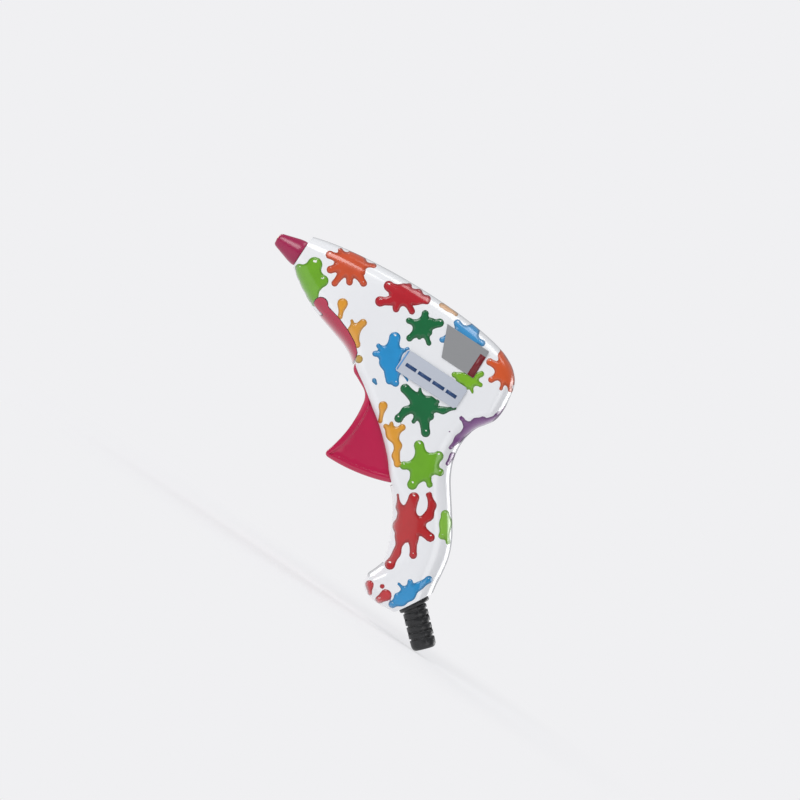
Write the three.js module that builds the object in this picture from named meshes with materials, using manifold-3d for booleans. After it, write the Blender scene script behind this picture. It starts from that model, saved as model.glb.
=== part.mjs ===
// Mini hot-melt glue gun for 7 mm sticks: a moulded housing in two halves around a heated melt chamber, with
// a squeeze trigger that feeds the stick through a link, a gripper and a sliding carriage.
// Millimetres. The parts are drawn with +X along the barrel towards the stick inlet, +Z up, Y across, and
// zero on the barrel's axis at the foot of the nozzle cover. The last lines move the whole gun so that its
// origin is in the middle of the foot of its bounding box.
import * as THREE from "three";
import { mergeVertices } from "three/addons/utils/BufferGeometryUtils.js";
import Module from "manifold-3d";

const wasm = await Module();
wasm.setup();

// Driving dimensions
const STICK_BORE = 3.9; // radius of the passage for a 7.2 mm stick
const SIDE_HALF = 14; // half the width of the barrel and the handle
const NOSE_HALF = 8.5; // half the width at the nose
const TAPER_END = 48; // the barrel reaches its full width here
const WALL = 2; // housing wall
const FULLNESS = 2.4; // exponent of the superellipse that rounds the housing's edges
const HALF_GAP = 0.05; // each housing half stops this far from the middle plane
const NOSE_FACE = 0.4; // front face of the housing
const TRIGGER_HALF = 9.9; // half the trigger's width
const TRIGGER_SLOT = 10.4; // half the width of the slot that it moves in
const TRIGGER_PIVOT = [50.5, -26.5];
const TRIGGER_TRAVEL = 22; // degrees
const ARM_LENGTH = 18; // from the trigger's pivot up to the link's front pin
const GRIPPER_PIVOT = [86, -8.4];
const GRIPPER_ARM = 5.2; // from the gripper's pin down to the link's rear pin
const STAND_PIVOT = [19.6, -13.6];
const STAND_SHELL = 2; // thickness of the stand
const STAND_FRONT = 4.5; // radius of the stand's front edge about its pivot, so that it swings clear
const RELIEF_SEAT = [124.2, -99.3]; // where the strain relief meets the handle
const SEAT_ANGLE = 30; // degrees that the seat looks below the barrel's axis
const RELIEF_ANGLE = 42.5; // degrees that the strain relief's sleeve hangs below it
const SCREW_PLACES = [
  [33, 11],
  [96, 10.4],
  [66, -22],
  [99.5, -68],
  [105.8, -102],
];

// The housing's outline in the side view, clockwise from the virtual tip of the nose. Each point is x, z and
// the radius that the edge is rounded with there. The nose and the strain relief's seat are cut flat later.
const OUTLINE = [
  [-9.5, 1.6, 4.6],
  [-6, 6.6, 5.4],
  [0.5, 9.2, 6.5],
  [8, 11.3, 8],
  [16, 12.9, 9],
  [28, 14.6, 10],
  [42, 15.9, 10],
  [58, 16.5, 10],
  [74, 16.2, 10],
  [88, 14.9, 9.5],
  [98, 12.6, 9],
  [105, 8.8, 8],
  [109.3, 3.2, 7.5],
  [110.6, -3, 7],
  [111, -9.5, 6.5],
  [110.2, -14, 5.5],
  [108, -17.6, 6.5],
  [105.4, -21.5, 8],
  [104, -26.5, 9.5],
  [103.8, -32, 10.5],
  [105, -38.5, 11],
  [108, -45, 11],
  [112.5, -51.5, 11],
  [118, -59, 11],
  [123, -66.5, 11],
  [126.3, -74, 11],
  [127.9, -82, 10.5],
  [128.6, -88, 9.5],
  [129.6, -93.5, 8],
  [130, -98.5, 7],
  [127.6, -104, 6.5],
  [122.3, -106.9, 6.5],
  [116, -107.8, 7],
  [110.5, -108.2, 7],
  [105, -107, 5.5],
  [101.5, -103.6, 4.5],
  [100.9, -99.8, 4.8],
  [102.3, -96, 6.5],
  [103.4, -92, 9],
  [102.6, -87.5, 11],
  [100, -81, 11],
  [96.3, -73.5, 11],
  [92.3, -67.3, 8],
  [88.6, -63.2, 5],
  [84.6, -59.5, 4],
  [78.9, -53, 4.5],
  [68.9, -44.2, 5],
  [61, -38.6, 5],
  [53.8, -33.4, 5],
  [47.2, -29.2, 5],
  [43, -25.6, 6],
  [38, -22.9, 7],
  [30, -20.4, 8],
  [22, -18.1, 8],
  [16, -16, 7.5],
  [10, -12.9, 7],
  [5, -9.9, 6.5],
  [0.5, -6.6, 6],
  [-6, -3, 5.4],
];

// The stand's side view behind its pivot. An arc about the pivot closes it in front.
const STAND_REGION = [
  [24.3, -12.9],
  [30, -14.4],
  [36, -16.7],
  [41, -19.3],
  [44.2, -22.2],
  [45, -25],
  [45, -32],
  [20.6, -32],
];

// ---------------------------------------------------------------- solids

// A closed geometry as a solid that can be joined and cut.
function solid(geometry) {
  const loose = geometry.index ? geometry.toNonIndexed() : geometry;
  const bare = new THREE.BufferGeometry();
  bare.setAttribute("position", loose.getAttribute("position"));
  const welded = mergeVertices(bare, 1e-4);
  const corners = welded.index.array;
  const kept = [];
  for (let i = 0; i < corners.length; i += 3) {
    const [a, b, c] = corners.slice(i, i + 3);
    if (a !== b && b !== c && c !== a) kept.push(a, b, c);
  }
  const closed = (triVerts) =>
    new wasm.Manifold(
      new wasm.Mesh({
        numProp: 3,
        vertProperties: welded.attributes.position.array,
        triVerts: new Uint32Array(triVerts),
      }),
    );
  const made = closed(kept);
  return made.volume() < 0 ? closed(kept.reverse()) : made;
}

const asSolid = (shape) => (shape.isBufferGeometry ? solid(shape) : shape);
const join = (first, ...others) =>
  others.reduce((made, shape) => made.add(asSolid(shape)), asSolid(first));
const cut = (first, ...others) =>
  others.reduce((made, shape) => made.subtract(asSolid(shape)), asSolid(first));
const common = (first, second) => asSolid(first).intersect(asSolid(second));

// A solid or a geometry as a geometry with outward normals, ready to show.
function surface(shape) {
  const { vertProperties, triVerts } = asSolid(shape).getMesh();
  const geometry = new THREE.BufferGeometry();
  geometry.setAttribute("position", new THREE.BufferAttribute(vertProperties, 3));
  geometry.setIndex(new THREE.BufferAttribute(triVerts, 1));
  geometry.computeVertexNormals();
  return geometry;
}

// ---------------------------------------------------------------- shapes

const radians = THREE.MathUtils.degToRad;

// A box between two corners.
function block([x0, x1], [y0, y1], [z0, z1]) {
  const box = new THREE.BoxGeometry(x1 - x0, y1 - y0, z1 - z0);
  return box.translate((x0 + x1) / 2, (y0 + y1) / 2, (z0 + z1) / 2);
}

// A flat outline of [x, z] points, given thickness across the gun.
function plate(points, [y0, y1]) {
  const outline = new THREE.Shape(points.map(([x, z]) => new THREE.Vector2(x, z)));
  const slab = new THREE.ExtrudeGeometry(outline, { depth: y1 - y0, bevelEnabled: false });
  return slab.rotateX(Math.PI / 2).translate(0, y1, 0);
}

// A round bar across the gun.
function crossRod([x, z], radius, [y0, y1], sides = 16) {
  const bar = new THREE.CylinderGeometry(radius, radius, y1 - y0, sides);
  return bar.translate(x, (y0 + y1) / 2, z);
}

// A closed profile of [x, radius] points, turned about the barrel's axis.
function turned(profile, sides = 18) {
  const points = profile.map(([x, radius]) => new THREE.Vector2(radius, x));
  return new THREE.LatheGeometry(points, sides).rotateZ(-Math.PI / 2);
}

// A plain tube or bar about the barrel's axis.
function pipe([x0, x1], outer, inner = 0, sides = 18) {
  const profile = [
    [x0, inner],
    [x0, outer],
    [x1, outer],
    [x1, inner],
  ];
  return turned(inner ? [...profile, profile[0]] : profile, sides);
}

// A polygon's points on a circle.
function circle([x, z], radius, sides, from = 0, to = 360) {
  const closed = to - from === 360;
  const steps = closed ? sides : sides + 1;
  return Array.from({ length: steps }, (_, i) => {
    const angle = radians(from + ((to - from) * i) / sides);
    return [x + radius * Math.cos(angle), z + radius * Math.sin(angle)];
  });
}

// Round wire or tube along a curve.
function wire(curve, radius, sides, steps) {
  const section = new THREE.Shape(circle([0, 0], radius, sides).map(([u, v]) => new THREE.Vector2(u, v)));
  return new THREE.ExtrudeGeometry(section, { steps, extrudePath: curve, bevelEnabled: false });
}

// The centre line of a coil spring about the barrel's axis.
class Coil extends THREE.Curve {
  constructor(start, end, radius, turns) {
    super();
    Object.assign(this, { start, end, radius, turns });
  }

  getPoint(t, target = new THREE.Vector3()) {
    const angle = 2 * Math.PI * this.turns * t;
    const x = THREE.MathUtils.lerp(this.start, this.end, t);
    return target.set(x, this.radius * Math.cos(angle), this.radius * Math.sin(angle));
  }
}

// Both mirror images of a shape that is drawn on the +Y side.
function bothSides(shape) {
  const mirrored = shape.clone().scale(1, -1, 1);
  return [solid(shape), solid(mirrored)];
}

// ---------------------------------------------------------------- the housing's form

// Half the housing's width at a distance along the barrel.
function halfWidth(x) {
  const ahead = Math.max(0, 1 - x / TAPER_END);
  return SIDE_HALF - (SIDE_HALF - NOSE_HALF) * ahead ** 1.6;
}

// Triangles that close a side face, as indices into its contour. Ahead of taperEnd the face narrows, so they
// run straight across from the upper edge to the lower one. Behind it the face is flat.
function closeFace(contour, taperEnd) {
  const last = contour.length - 1;
  let upper = contour.findIndex(({ x }) => x >= taperEnd);
  let lower = contour.findLastIndex(({ x }) => x >= taperEnd);
  const flat = THREE.ShapeUtils.triangulateShape(contour.slice(upper, lower + 1), []);
  const faces = flat.map((corners) => corners.map((corner) => corner + upper));
  while (taperEnd > 0 && (upper > 0 || lower < last)) {
    const onUpper = lower === last || (upper > 0 && contour[upper - 1].x > contour[lower + 1].x);
    const next = onUpper ? upper - 1 : lower + 1;
    faces.push([upper, next, lower]);
    if (onUpper) upper = next;
    else lower = next;
  }
  return faces;
}

// A form with rounded edges. Stations run clockwise round its side view, each holding x, the radius of the
// edge and z. Rings of points go from the left face round the edge to the right face, drawn in from the
// outline by a superellipse, and a face closes each side. The whole form is moved in by inset.
function pillow(stations, inset, rings, halfAt, taperEnd = 0) {
  const spans = stations.length;
  const positions = [];
  const indices = [];
  let contour = [];
  for (let ring = -rings; ring <= rings; ring++) {
    const angle = (Math.PI / 2) * (ring / rings);
    const rise = Math.sign(ring) * Math.abs(Math.sin(angle)) ** (2 / FULLNESS);
    const drawn = Math.abs(ring) === rings ? 1 : 1 - Math.cos(angle) ** (2 / FULLNESS);
    contour = stations.map((here, i) => {
      const before = stations[(i + spans - 1) % spans];
      const after = stations[(i + 1) % spans];
      const inward = new THREE.Vector2(after.z - before.z, before.x - after.x).normalize();
      const depth = inset + Math.max(here.y - inset, 0.5) * drawn;
      const x = here.x + inward.x * depth;
      const z = here.z + inward.y * depth;
      positions.push(x, (halfAt(x) - inset) * rise, z);
      return new THREE.Vector2(x, z);
    });
    for (let i = 0; ring < rings && i < spans; i++) {
      const low = (ring + rings) * spans;
      const next = (i + 1) % spans;
      indices.push(low + i, low + next, low + spans + i);
      indices.push(low + next, low + spans + next, low + spans + i);
    }
  }
  const far = 2 * rings * spans;
  for (const [a, b, c] of closeFace(contour, taperEnd)) {
    const [p, q] = isClockwise(contour[a], contour[b], contour[c]) ? [b, c] : [c, b];
    indices.push(a, q, p, far + a, far + p, far + q);
  }
  const geometry = new THREE.BufferGeometry();
  geometry.setAttribute("position", new THREE.Float32BufferAttribute(positions, 3));
  geometry.setIndex(indices);
  return solid(geometry);
}

function isClockwise(a, b, c) {
  return (b.x - a.x) * (c.y - a.y) - (b.y - a.y) * (c.x - a.x) < 0;
}

// The housing's outside form, moved in by inset.
function bodyForm(inset, spans, rings) {
  const points = OUTLINE.map(([x, z, edge]) => new THREE.Vector3(x, edge, z));
  const line = new THREE.CatmullRomCurve3(points, true, "centripetal");
  return pillow(line.getSpacedPoints(spans).slice(0, -1), inset, rings, halfWidth, TAPER_END);
}

// A shape drawn about the barrel's axis, moved onto the strain relief's seat and aimed down from the axis.
function atSeat(shape, angle) {
  return shape.rotateY(radians(angle)).translate(RELIEF_SEAT[0], 0, RELIEF_SEAT[1]);
}

const outside = bodyForm(0, 84, 4);

// ---------------------------------------------------------------- the housing

// The ribs, seats and rails on the inside, trimmed to the housing's own form.
function innards() {
  const former = ([x0, x1], [z0, z1], radius) =>
    cut(block([x0, x1], [-13, 13], [z0, z1]), pipe([x0 - 1, x1 + 1], radius));
  const rail = (z) => bothSides(block([71, 97], [9.6, 13], [z, z + 1.4])).reduce((a, b) => a.add(b));
  const pivotSeats = bothSides(crossRod(TRIGGER_PIVOT, 4, [10.2, 13]));
  const standBacks = bothSides(crossRod(STAND_PIVOT, 5, [5.4, 12]));
  return join(
    former([11.9, 13.4], [-12, 12], 5.9), // holds the chamber's nose
    former([37, 38.2], [-6.9, 14], 7.3), // two formers hold the heat shield
    former([40.2, 41], [1, 14], 7.8),
    former([57.2, 58.8], [-5.8, 14], 5.7), // seat of the return spring
    former([97.6, 99.1], [-9, 12], 5.7), // two formers hold the stick guide
    former([101.8, 103.3], [-9, 12], 5.7),
    rail(2),
    rail(-3.4),
    ...pivotSeats,
    ...standBacks,
    crossRod(clampPlace(4.3), 2.3, [-12, -0.2], 12),
    crossRod(clampPlace(-4.3), 2.3, [-12, -0.2], 12),
  );
}

// A place along the cord clamp, across the cord's path.
function clampPlace(along) {
  const tilt = radians(90 - SEAT_ANGLE);
  const back = 13; // from the seat to the clamp
  const x = RELIEF_SEAT[0] - back * Math.cos(radians(SEAT_ANGLE)) + along * Math.cos(tilt);
  const z = RELIEF_SEAT[1] + back * Math.sin(radians(SEAT_ANGLE)) + along * Math.sin(tilt);
  return [x, z];
}

// The stand's recess is cut from the outside, and the wall steps in behind it.
function standRegion(grown) {
  const front = circle(STAND_PIVOT, STAND_FRONT, 5, -74, -4);
  const wide = [...STAND_REGION, ...front].map(([x, z]) => {
    const away = new THREE.Vector2(x - 34, z + 21).normalize();
    return [x + away.x * grown, z + away.y * grown];
  });
  return plate(wide, [-16, 16]);
}

function housing() {
  const hollow = cut(
    bodyForm(WALL, 60, 3),
    block([-20, NOSE_FACE + 2.4], [-20, 20], [-20, 20]),
    atSeat(block([-2.6, 20], [-20, 20], [-20, 20]), SEAT_ANGLE),
    cut(standRegion(2.2), bodyForm(STAND_SHELL + 0.35 + WALL, 60, 3)),
  );
  const shell = cut(outside, hollow);
  const posts = SCREW_PLACES.map((place) => crossRod(place, 2.7, [-13, 13], 12));
  const inside = common(join(innards(), ...posts), bodyForm(WALL / 2, 60, 3));
  const wells = SCREW_PLACES.flatMap((place) => [
    crossRod(place, 1.35, [-8.6, 8], 10), // pilot and clearance hole
    crossRod(place, 2.5, [6.4, 16], 12), // counterbore for the head
  ]);
  const [px, pz] = TRIGGER_PIVOT;
  const slot = [
    [px - 5.1, pz + 3.6],
    [56, -26.6],
    [66, -32.6],
    [76, -41],
    [84.5, -49.5],
    [91.3, -58.9],
    [88.2, -62.2],
    [80, -75],
    [px - 5.1, -48],
  ];
  const standPocket = bothSides(crossRod(STAND_PIVOT, 3.35, [7, 16], 20));
  const sweep = [STAND_PIVOT, ...circle(STAND_PIVOT, 5.9, 8, -80, 18)];
  const neckSweep = bothSides(plate(sweep, [7, 16]));
  const standHole = bothSides(crossRod(STAND_PIVOT, 1.65, [5, 8], 12));
  return cut(
    join(shell, inside),
    block([-20, NOSE_FACE], [-20, 20], [-20, 20]),
    atSeat(block([0, 20], [-20, 20], [-20, 20]), SEAT_ANGLE),
    pipe([-5, 6], 5.1),
    atSeat(pipe([-4, 2], 4.9), SEAT_ANGLE),
    pipe([104.5, 115], 5.7),
    plate(slot, [-TRIGGER_SLOT, TRIGGER_SLOT]),
    crossRod(TRIGGER_PIVOT, 1.65, [-12, 12]),
    cut(standRegion(0.35), bodyForm(STAND_SHELL + 0.35, 60, 3)),
    ...standPocket,
    ...neckSweep,
    ...standHole,
    ...wells,
    crossRod(clampPlace(4.3), 0.9, [-9, 1], 8),
    crossRod(clampPlace(-4.3), 0.9, [-9, 1], 8),
  );
}

const wholeHousing = housing();
const leftHalf = () => common(wholeHousing, block([-20, 150], [-20, -HALF_GAP], [-130, 30]));
const rightHalf = () => common(wholeHousing, block([-20, 150], [HALF_GAP, 20], [-130, 30]));

// Self-tapping screw along +Y with its head at the far end.
function screw(length, shank, head) {
  const profile = [
    [0, 0],
    [1.2, shank],
    [length, shank],
    [length, head],
    [length + 0.9, head],
    [length + 1.5, head * 0.7],
    [length + 1.5, 0],
  ];
  return turned(profile, 12).rotateZ(Math.PI / 2);
}

// ---------------------------------------------------------------- nozzle and heater

// Brass nozzle: orifice, cone, hexagon and threaded shank, hollow for the valve.
function nozzle() {
  const outer = turned([
    [-12.3, 0],
    [-12.3, 1.2],
    [-10.8, 1.7],
    [-1, 4.1],
    [1.1, 4.1],
    [4.8, 4],
    [10.8, 4],
    [10.8, 0],
  ]);
  const hexagon = pipe([1.1, 4.7], 4.7, 0, 6);
  const passage = turned([
    [-13, 0],
    [-13, 0.7],
    [-10.5, 0.7],
    [-9, 1.4],
    [-3, 1.4],
    [-3, 2.5],
    [12, 2.5],
    [12, 0],
  ]);
  return cut(join(outer, hexagon), passage);
}

// Silicone cover over the nozzle's cone.
function nozzleCover() {
  return turned([
    [-11.9, 1.75],
    [-12.05, 2.2],
    [-11.2, 3],
    [-7.5, 4.2],
    [-3.4, 5.45],
    [-0.9, 5.85],
    [0.1, 5.7],
    [0.1, 4.5],
    [-1.2, 4.45],
    [-10.6, 2.1],
    [-11.9, 1.75],
  ]);
}

// Cast aluminium melt chamber: a tube with the nozzle's socket in front, a spigot for the sleeve behind, and
// a block underneath with the slot for the heater.
function meltChamber() {
  const tube = turned([
    [5, 0],
    [5, 5.6],
    [13.8, 5.6],
    [13.8, 7],
    [36.4, 7],
    [38.6, 5],
    [44, 5],
    [44, 0],
  ]);
  const heaterBlock = block([22.8, 36.4], [-5, 5], [-12.7, -3]);
  const passage = turned([
    [4, 0],
    [4, 4.3],
    [11.2, 4.3],
    [11.2, 1.5],
    [13, 1.5],
    [17, STICK_BORE],
    [45, STICK_BORE],
    [45, 0],
  ]);
  return cut(join(tube, heaterBlock), passage, block([22, 45], [-4, 4], [-12, -7.6]));
}

// Rectangular tube of polyimide film round the heater and its two electrodes.
function insulationFilm() {
  const outer = block([23.2, 37.4], [-3.8, 3.8], [-11.75, -7.85]);
  return cut(outer, block([22, 38], [-3.5, 3.5], [-11.45, -8.15]));
}

// Electrode plate with a tab for its lead.
function electrode(side, level) {
  const strip = block([23.6, 36.6], [-3.3, 3.3], [level - 0.25, level + 0.25]);
  const tab = block([36, 41.2], [side * 2.2 - 1, side * 2.2 + 1], [level - 0.25, level + 0.25]);
  return join(strip, tab);
}

// Fibre plate that keeps the heat of the chamber from the feed mechanism.
function heatShield() {
  const corner = 9.6;
  const sheet = plate(
    [
      [38.6, -7],
      [39.8, -7],
      [39.8, 10.2],
      [38.6, 10.2],
    ],
    [-corner, corner],
  );
  return cut(sheet, pipe([38, 41], 5.3));
}

// Silicone sleeve: a cup over the chamber's spigot and a tube that guides the stick into it.
function inletSleeve() {
  return turned([
    [40.3, 5.15],
    [40.3, 6.4],
    [44.6, 6.4],
    [46.4, 5.4],
    [70, 5.4],
    [70, 4.6],
    [69, STICK_BORE + 0.1],
    [44.3, STICK_BORE + 0.1],
    [44.3, 5.15],
    [40.3, 5.15],
  ]);
}

// Spring-steel clamp round the sleeve's cup.
function sleeveClamp() {
  const band = pipe([41.5, 43.7], 7.3, 6.6);
  const ears = block([41.5, 43.7], [-1.2, 1.2], [6.9, 9.2]);
  return join(band, ears);
}

// ---------------------------------------------------------------- trigger and feed

const armTilt = radians(TRIGGER_TRAVEL / 2);
const LINK_FRONT = [
  TRIGGER_PIVOT[0] + ARM_LENGTH * Math.sin(armTilt),
  TRIGGER_PIVOT[1] + ARM_LENGTH * Math.cos(armTilt),
];
const LINK_REAR = [GRIPPER_PIVOT[0], GRIPPER_PIVOT[1] - GRIPPER_ARM];

// Trigger: a hollow moulding on a hub at its upper front, with a forked arm up to the link.
function trigger() {
  const [px, pz] = TRIGGER_PIVOT;
  const outline = new THREE.Shape();
  outline.absarc(px, pz, 4.5, Math.PI, Math.PI * 1.42, false);
  outline.lineTo(54.2, -33.2);
  outline.quadraticCurveTo(57.9, -35, 58.5, -39.5);
  outline.bezierCurveTo(60, -48, 59.4, -56, 56.8, -64.6);
  outline.quadraticCurveTo(56.3, -67, 58.8, -67);
  outline.bezierCurveTo(69, -66.9, 79, -64.6, 87.2, -61.3);
  outline.lineTo(90, -57.8);
  outline.quadraticCurveTo(76, -41, 60.4, -29.8);
  outline.lineTo(px + 2, pz + 4.2);
  outline.closePath();
  const edge = 1.8; // radius of the edges along the side faces
  const stations = outline.getSpacedPoints(56).slice(0, -1).reverse();
  const rim = stations.map(({ x, y }) => new THREE.Vector3(x, edge, y));
  const body = pillow(rim, 0, 2, () => TRIGGER_HALF);
  const hollow = [
    [61.2, -37],
    [61.6, -48],
    [60.9, -56],
    [59.4, -63.6],
    [61, -64.6],
    [72, -63.8],
    [80, -62],
    [86, -59.4],
    [97, -50],
    [72, -25],
    [64, -31.6],
  ];
  const arm = [
    [px - 2.4, pz + 2],
    [LINK_FRONT[0] - 2.1, LINK_FRONT[1] - 2],
    ...circle(LINK_FRONT, 2.5, 8, 180, 0),
    [px + 4.2, pz - 1],
  ];
  return cut(
    join(
      body,
      crossRod(TRIGGER_PIVOT, 4.5, [-TRIGGER_HALF, TRIGGER_HALF], 20),
      plate(arm, [-4.6, 4.6]),
    ),
    plate(hollow, [-7.7, 7.7]),
    block([px - 10, px + 10], [-2.1, 2.1], [pz + 6, 0]),
    crossRod(TRIGGER_PIVOT, 1.65, [-12, 12]),
    crossRod(LINK_FRONT, 1.35, [-6, 6], 12),
  );
}

// Flat bar that pulls the gripper's foot forward. Both eyes have room for the pins to swing.
function pullLink() {
  const [ax, az] = LINK_FRONT;
  const [bx, bz] = LINK_REAR;
  const eyeRadius = 2.1;
  const bar = [
    [ax, az - 1.4],
    [bx, bz - 1.4],
    [bx, bz + 1.4],
    [ax, az + 1.4],
  ];
  return cut(
    join(
      plate(bar, [-1.5, 1.5]),
      crossRod(LINK_FRONT, eyeRadius + 0.2, [-1.5, 1.5], 14),
      crossRod(LINK_REAR, eyeRadius, [-1.5, 1.5], 14),
    ),
    crossRod(LINK_FRONT, 1.55, [-2, 2], 12),
    crossRod(LINK_REAR, 1.45, [-2, 2], 12),
  );
}

// Sliding carriage: a tube round the stick, a wing in the rails on each side, and two ears underneath.
function feedCarriage() {
  const [gx, gz] = GRIPPER_PIVOT;
  const wings = bothSides(block([79, 92], [6.5, 11.4], [-1.6, 1.6]));
  const ear = [
    [gx - 3.4, -5],
    [gx - 2.6, gz - 1.8],
    [gx + 2.6, gz - 1.8],
    [gx + 3.4, -5],
  ];
  return cut(
    join(pipe([79, 92], 7.6), ...wings, ...bothSides(plate(ear, [2.4, 4.7]))),
    pipe([78, 93], 4.1),
    block([gx - 4.4, gx + 4.4], [-2.4, 2.4], [-12, -2]),
    crossRod(GRIPPER_PIVOT, 1.2, [-6, 6], 12),
  );
}

// Gripper: a toothed jaw under the stick, tilted by the link at its foot.
function stickGripper() {
  const [gx, gz] = GRIPPER_PIVOT;
  const teeth = [0, 1, 2, 3].flatMap((i) => [
    [gx - 3.4 + 1.7 * i, -4.5],
    [gx - 2.6 + 1.7 * i, -5.1],
  ]);
  const jaw = [
    ...teeth,
    [gx + 3.2, -5.4],
    [gx + 1.9, gz - 0.6],
    [gx + 1.7, gz - 2.9],
    [gx - 1.7, gz - 2.9],
    [gx - 1.9, gz - 0.6],
    [gx - 3.7, -5.6],
  ];
  const cheek = [
    [gx - 2.1, LINK_REAR[1] + 3],
    ...circle(LINK_REAR, 2.1, 6, 180, 360),
    [gx + 2.1, LINK_REAR[1] + 3],
  ];
  const cheeks = bothSides(plate(cheek, [1.8, 3.4]));
  return cut(
    join(plate(jaw, [-2.05, 2.05]), ...cheeks, crossRod(LINK_REAR, 1.1, [-3.2, 3.2], 10)),
    crossRod(GRIPPER_PIVOT, 1.2, [-6, 6], 12),
  );
}

// Guide bush at the rear, with a funnel at each end for the stick and a flange between two formers. Its rear
// end is trimmed to the housing's curve.
function stickGuide() {
  const bush = turned([
    [95, 5],
    [95, 5.3],
    [99.5, 5.3],
    [99.5, 6.9],
    [101.4, 6.9],
    [101.4, 5.3],
    [112, 5.3],
    [112, 5],
    [107.6, STICK_BORE + 0.4],
    [96.4, STICK_BORE + 0.4],
    [95, 5],
  ]);
  return common(bush, bodyForm(0.3, 60, 3));
}

// ---------------------------------------------------------------- stand and strain relief

// Folding stand: a trough that closes the housing's lower front edge, with an ear and a stub pin each side.
function stand() {
  const [px, pz] = STAND_PIVOT;
  const trough = cut(common(outside, standRegion(0)), bodyForm(STAND_SHELL, 60, 3));
  const neck = [
    [px - 0.5, pz + 2.9],
    [22.2, -12.3],
    [24.6, -13.4],
    [24.2, -17.2],
    [px + 1.4, pz - 2.6],
  ];
  const ears = [
    ...bothSides(crossRod(STAND_PIVOT, 3, [7.3, 14], 20)),
    ...bothSides(plate(neck, [7.3, 14])),
  ];
  const stubs = bothSides(crossRod(STAND_PIVOT, 1.4, [5.7, 8], 12));
  return join(trough, ...ears.map((ear) => common(ear, outside)), ...stubs);
}

// Rubber strain relief: a flange inside the handle, a neck, a collar on the seat and a ribbed sleeve.
function strainRelief() {
  const root = turned([
    [-5.2, 0],
    [-5.2, 5.3],
    [-2.9, 5.3],
    [-2.9, 4.6],
    [0.3, 4.6],
    [0.3, 7],
    [1.9, 7],
    [2.2, 6.4],
    [2.2, 0],
  ]);
  const ribs = Array.from({ length: 5 }, (_, i) => 3.4 + 3 * i);
  const sleeve = turned([
    [0.6, 0],
    [0.6, 4.2],
    [2, 5.5],
    ...ribs.flatMap((x) => [
      [x, 5.5],
      [x + 0.3, 5],
      [x + 0.9, 5],
      [x + 1.2, 5.5],
    ]),
    [18.8, 5.4],
    [20.2, 4.9],
    [20.9, 3.9],
    [20.9, 0],
  ]);
  return cut(
    join(atSeat(root, SEAT_ANGLE), atSeat(sleeve, RELIEF_ANGLE)),
    atSeat(pipe([-0.5, 25], 2.9), RELIEF_ANGLE),
    atSeat(pipe([-8, 0.5], 2.9), SEAT_ANGLE),
  );
}

// Bar that clamps the cord to two posts in the left half.
function cordClamp() {
  const tilt = 90 - SEAT_ANGLE;
  const ends = [
    ...circle(clampPlace(4.3), 2.4, 6, tilt - 90, tilt + 90),
    ...circle(clampPlace(-4.3), 2.4, 6, tilt + 90, tilt + 270),
  ];
  return cut(
    plate(ends, [0.15, 2.8]),
    crossRod(clampPlace(4.3), 1.15, [-1, 4], 10),
    crossRod(clampPlace(-4.3), 1.15, [-1, 4], 10),
  );
}

// ---------------------------------------------------------------- wiring

// The centre line of one insulated lead, from its electrode's tab down into the handle.
function leadPath(side) {
  const points = [
    [41.9, side * 2.2, side > 0 ? -8.7 : -10.9],
    [43.2, side * 3.8, -9.8],
    [45, side * 6.8, -11.2],
    [50, side * 7.6, -14.4],
    [58, side * 7.8, -16.4],
    [72, side * 7.6, -17.4],
    [86, side * 7, -19.8],
    [94, side * 6.2, -24.2],
    [98.8, side * 5.2, -30.8],
    [101.3, side * 4.6, -38],
    [103.2, side * 4.2, -45.5],
    [105.6, side * 4, -53.5],
    [109.4, side * 3.6, -62.5],
    [113, side * 3.4, -72],
  ];
  return new THREE.CatmullRomCurve3(points.map((point) => new THREE.Vector3(...point)));
}

// Insulated crimp sleeve that joins a lead to the cord, along the handle.
function crimp() {
  return cut(pipe([0, 9.5], 1.7, 0, 12), pipe([4.5, 11], 1.1, 0, 8));
}

// ---------------------------------------------------------------- labels

// A rectangle or slanted rectangle of foil or plate on the left face.
function label(corners, [near, far]) {
  return plate(corners, [-SIDE_HALF - far, -SIDE_HALF - near]);
}

const NAME_PLATE = [
  [62.6, -19.4],
  [92, -19.4],
  [93, -18.4],
  [93, -9.8],
  [92, -8.8],
  [62.2, -8.8],
  [61.6, -9.6],
  [61.9, -18.8],
];
const RATING_LABEL = [
  [70, 9.6],
  [75.8, -3.9],
  [92.2, -3.9],
  [91.6, 9.6],
];

// ---------------------------------------------------------------- assembly

const finish = (color, roughness, metalness = 0) =>
  new THREE.MeshStandardMaterial({ color, roughness, metalness });
const whitePlastic = finish(0xf3f4f6, 0.25);
const pinkPlastic = finish(0xc2204f, 0.3);
const pinkSilicone = finish(0xb32a5c, 0.5);
const brass = finish(0xc9a24a, 0.35, 1);
const aluminium = finish(0xb9bcc0, 0.45, 1);
const steel = finish(0xc6c9cc, 0.3, 1);
const ceramic = finish(0xe8e2d2, 0.6);
const copper = finish(0xb8794a, 0.35, 1);
const polyimide = finish(0xc07a22, 0.35);
const fibre = finish(0xd9d2bf, 0.8);
const whiteSilicone = finish(0xe6e3df, 0.55);
const blackPlastic = finish(0x2a2a2c, 0.5);
const blackRubber = finish(0x1b1b1d, 0.65);
const greyFoil = finish(0x8f8f92, 0.4, 0.3);
const paleFoil = finish(0xd3d9e4, 0.3);

const gun = new THREE.Group();

function add(group, name, shape, material) {
  const mesh = new THREE.Mesh(surface(shape), material);
  mesh.name = name;
  group.add(mesh);
  return mesh;
}

function assembly() {
  const group = new THREE.Group();
  gun.add(group);
  return group;
}

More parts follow.
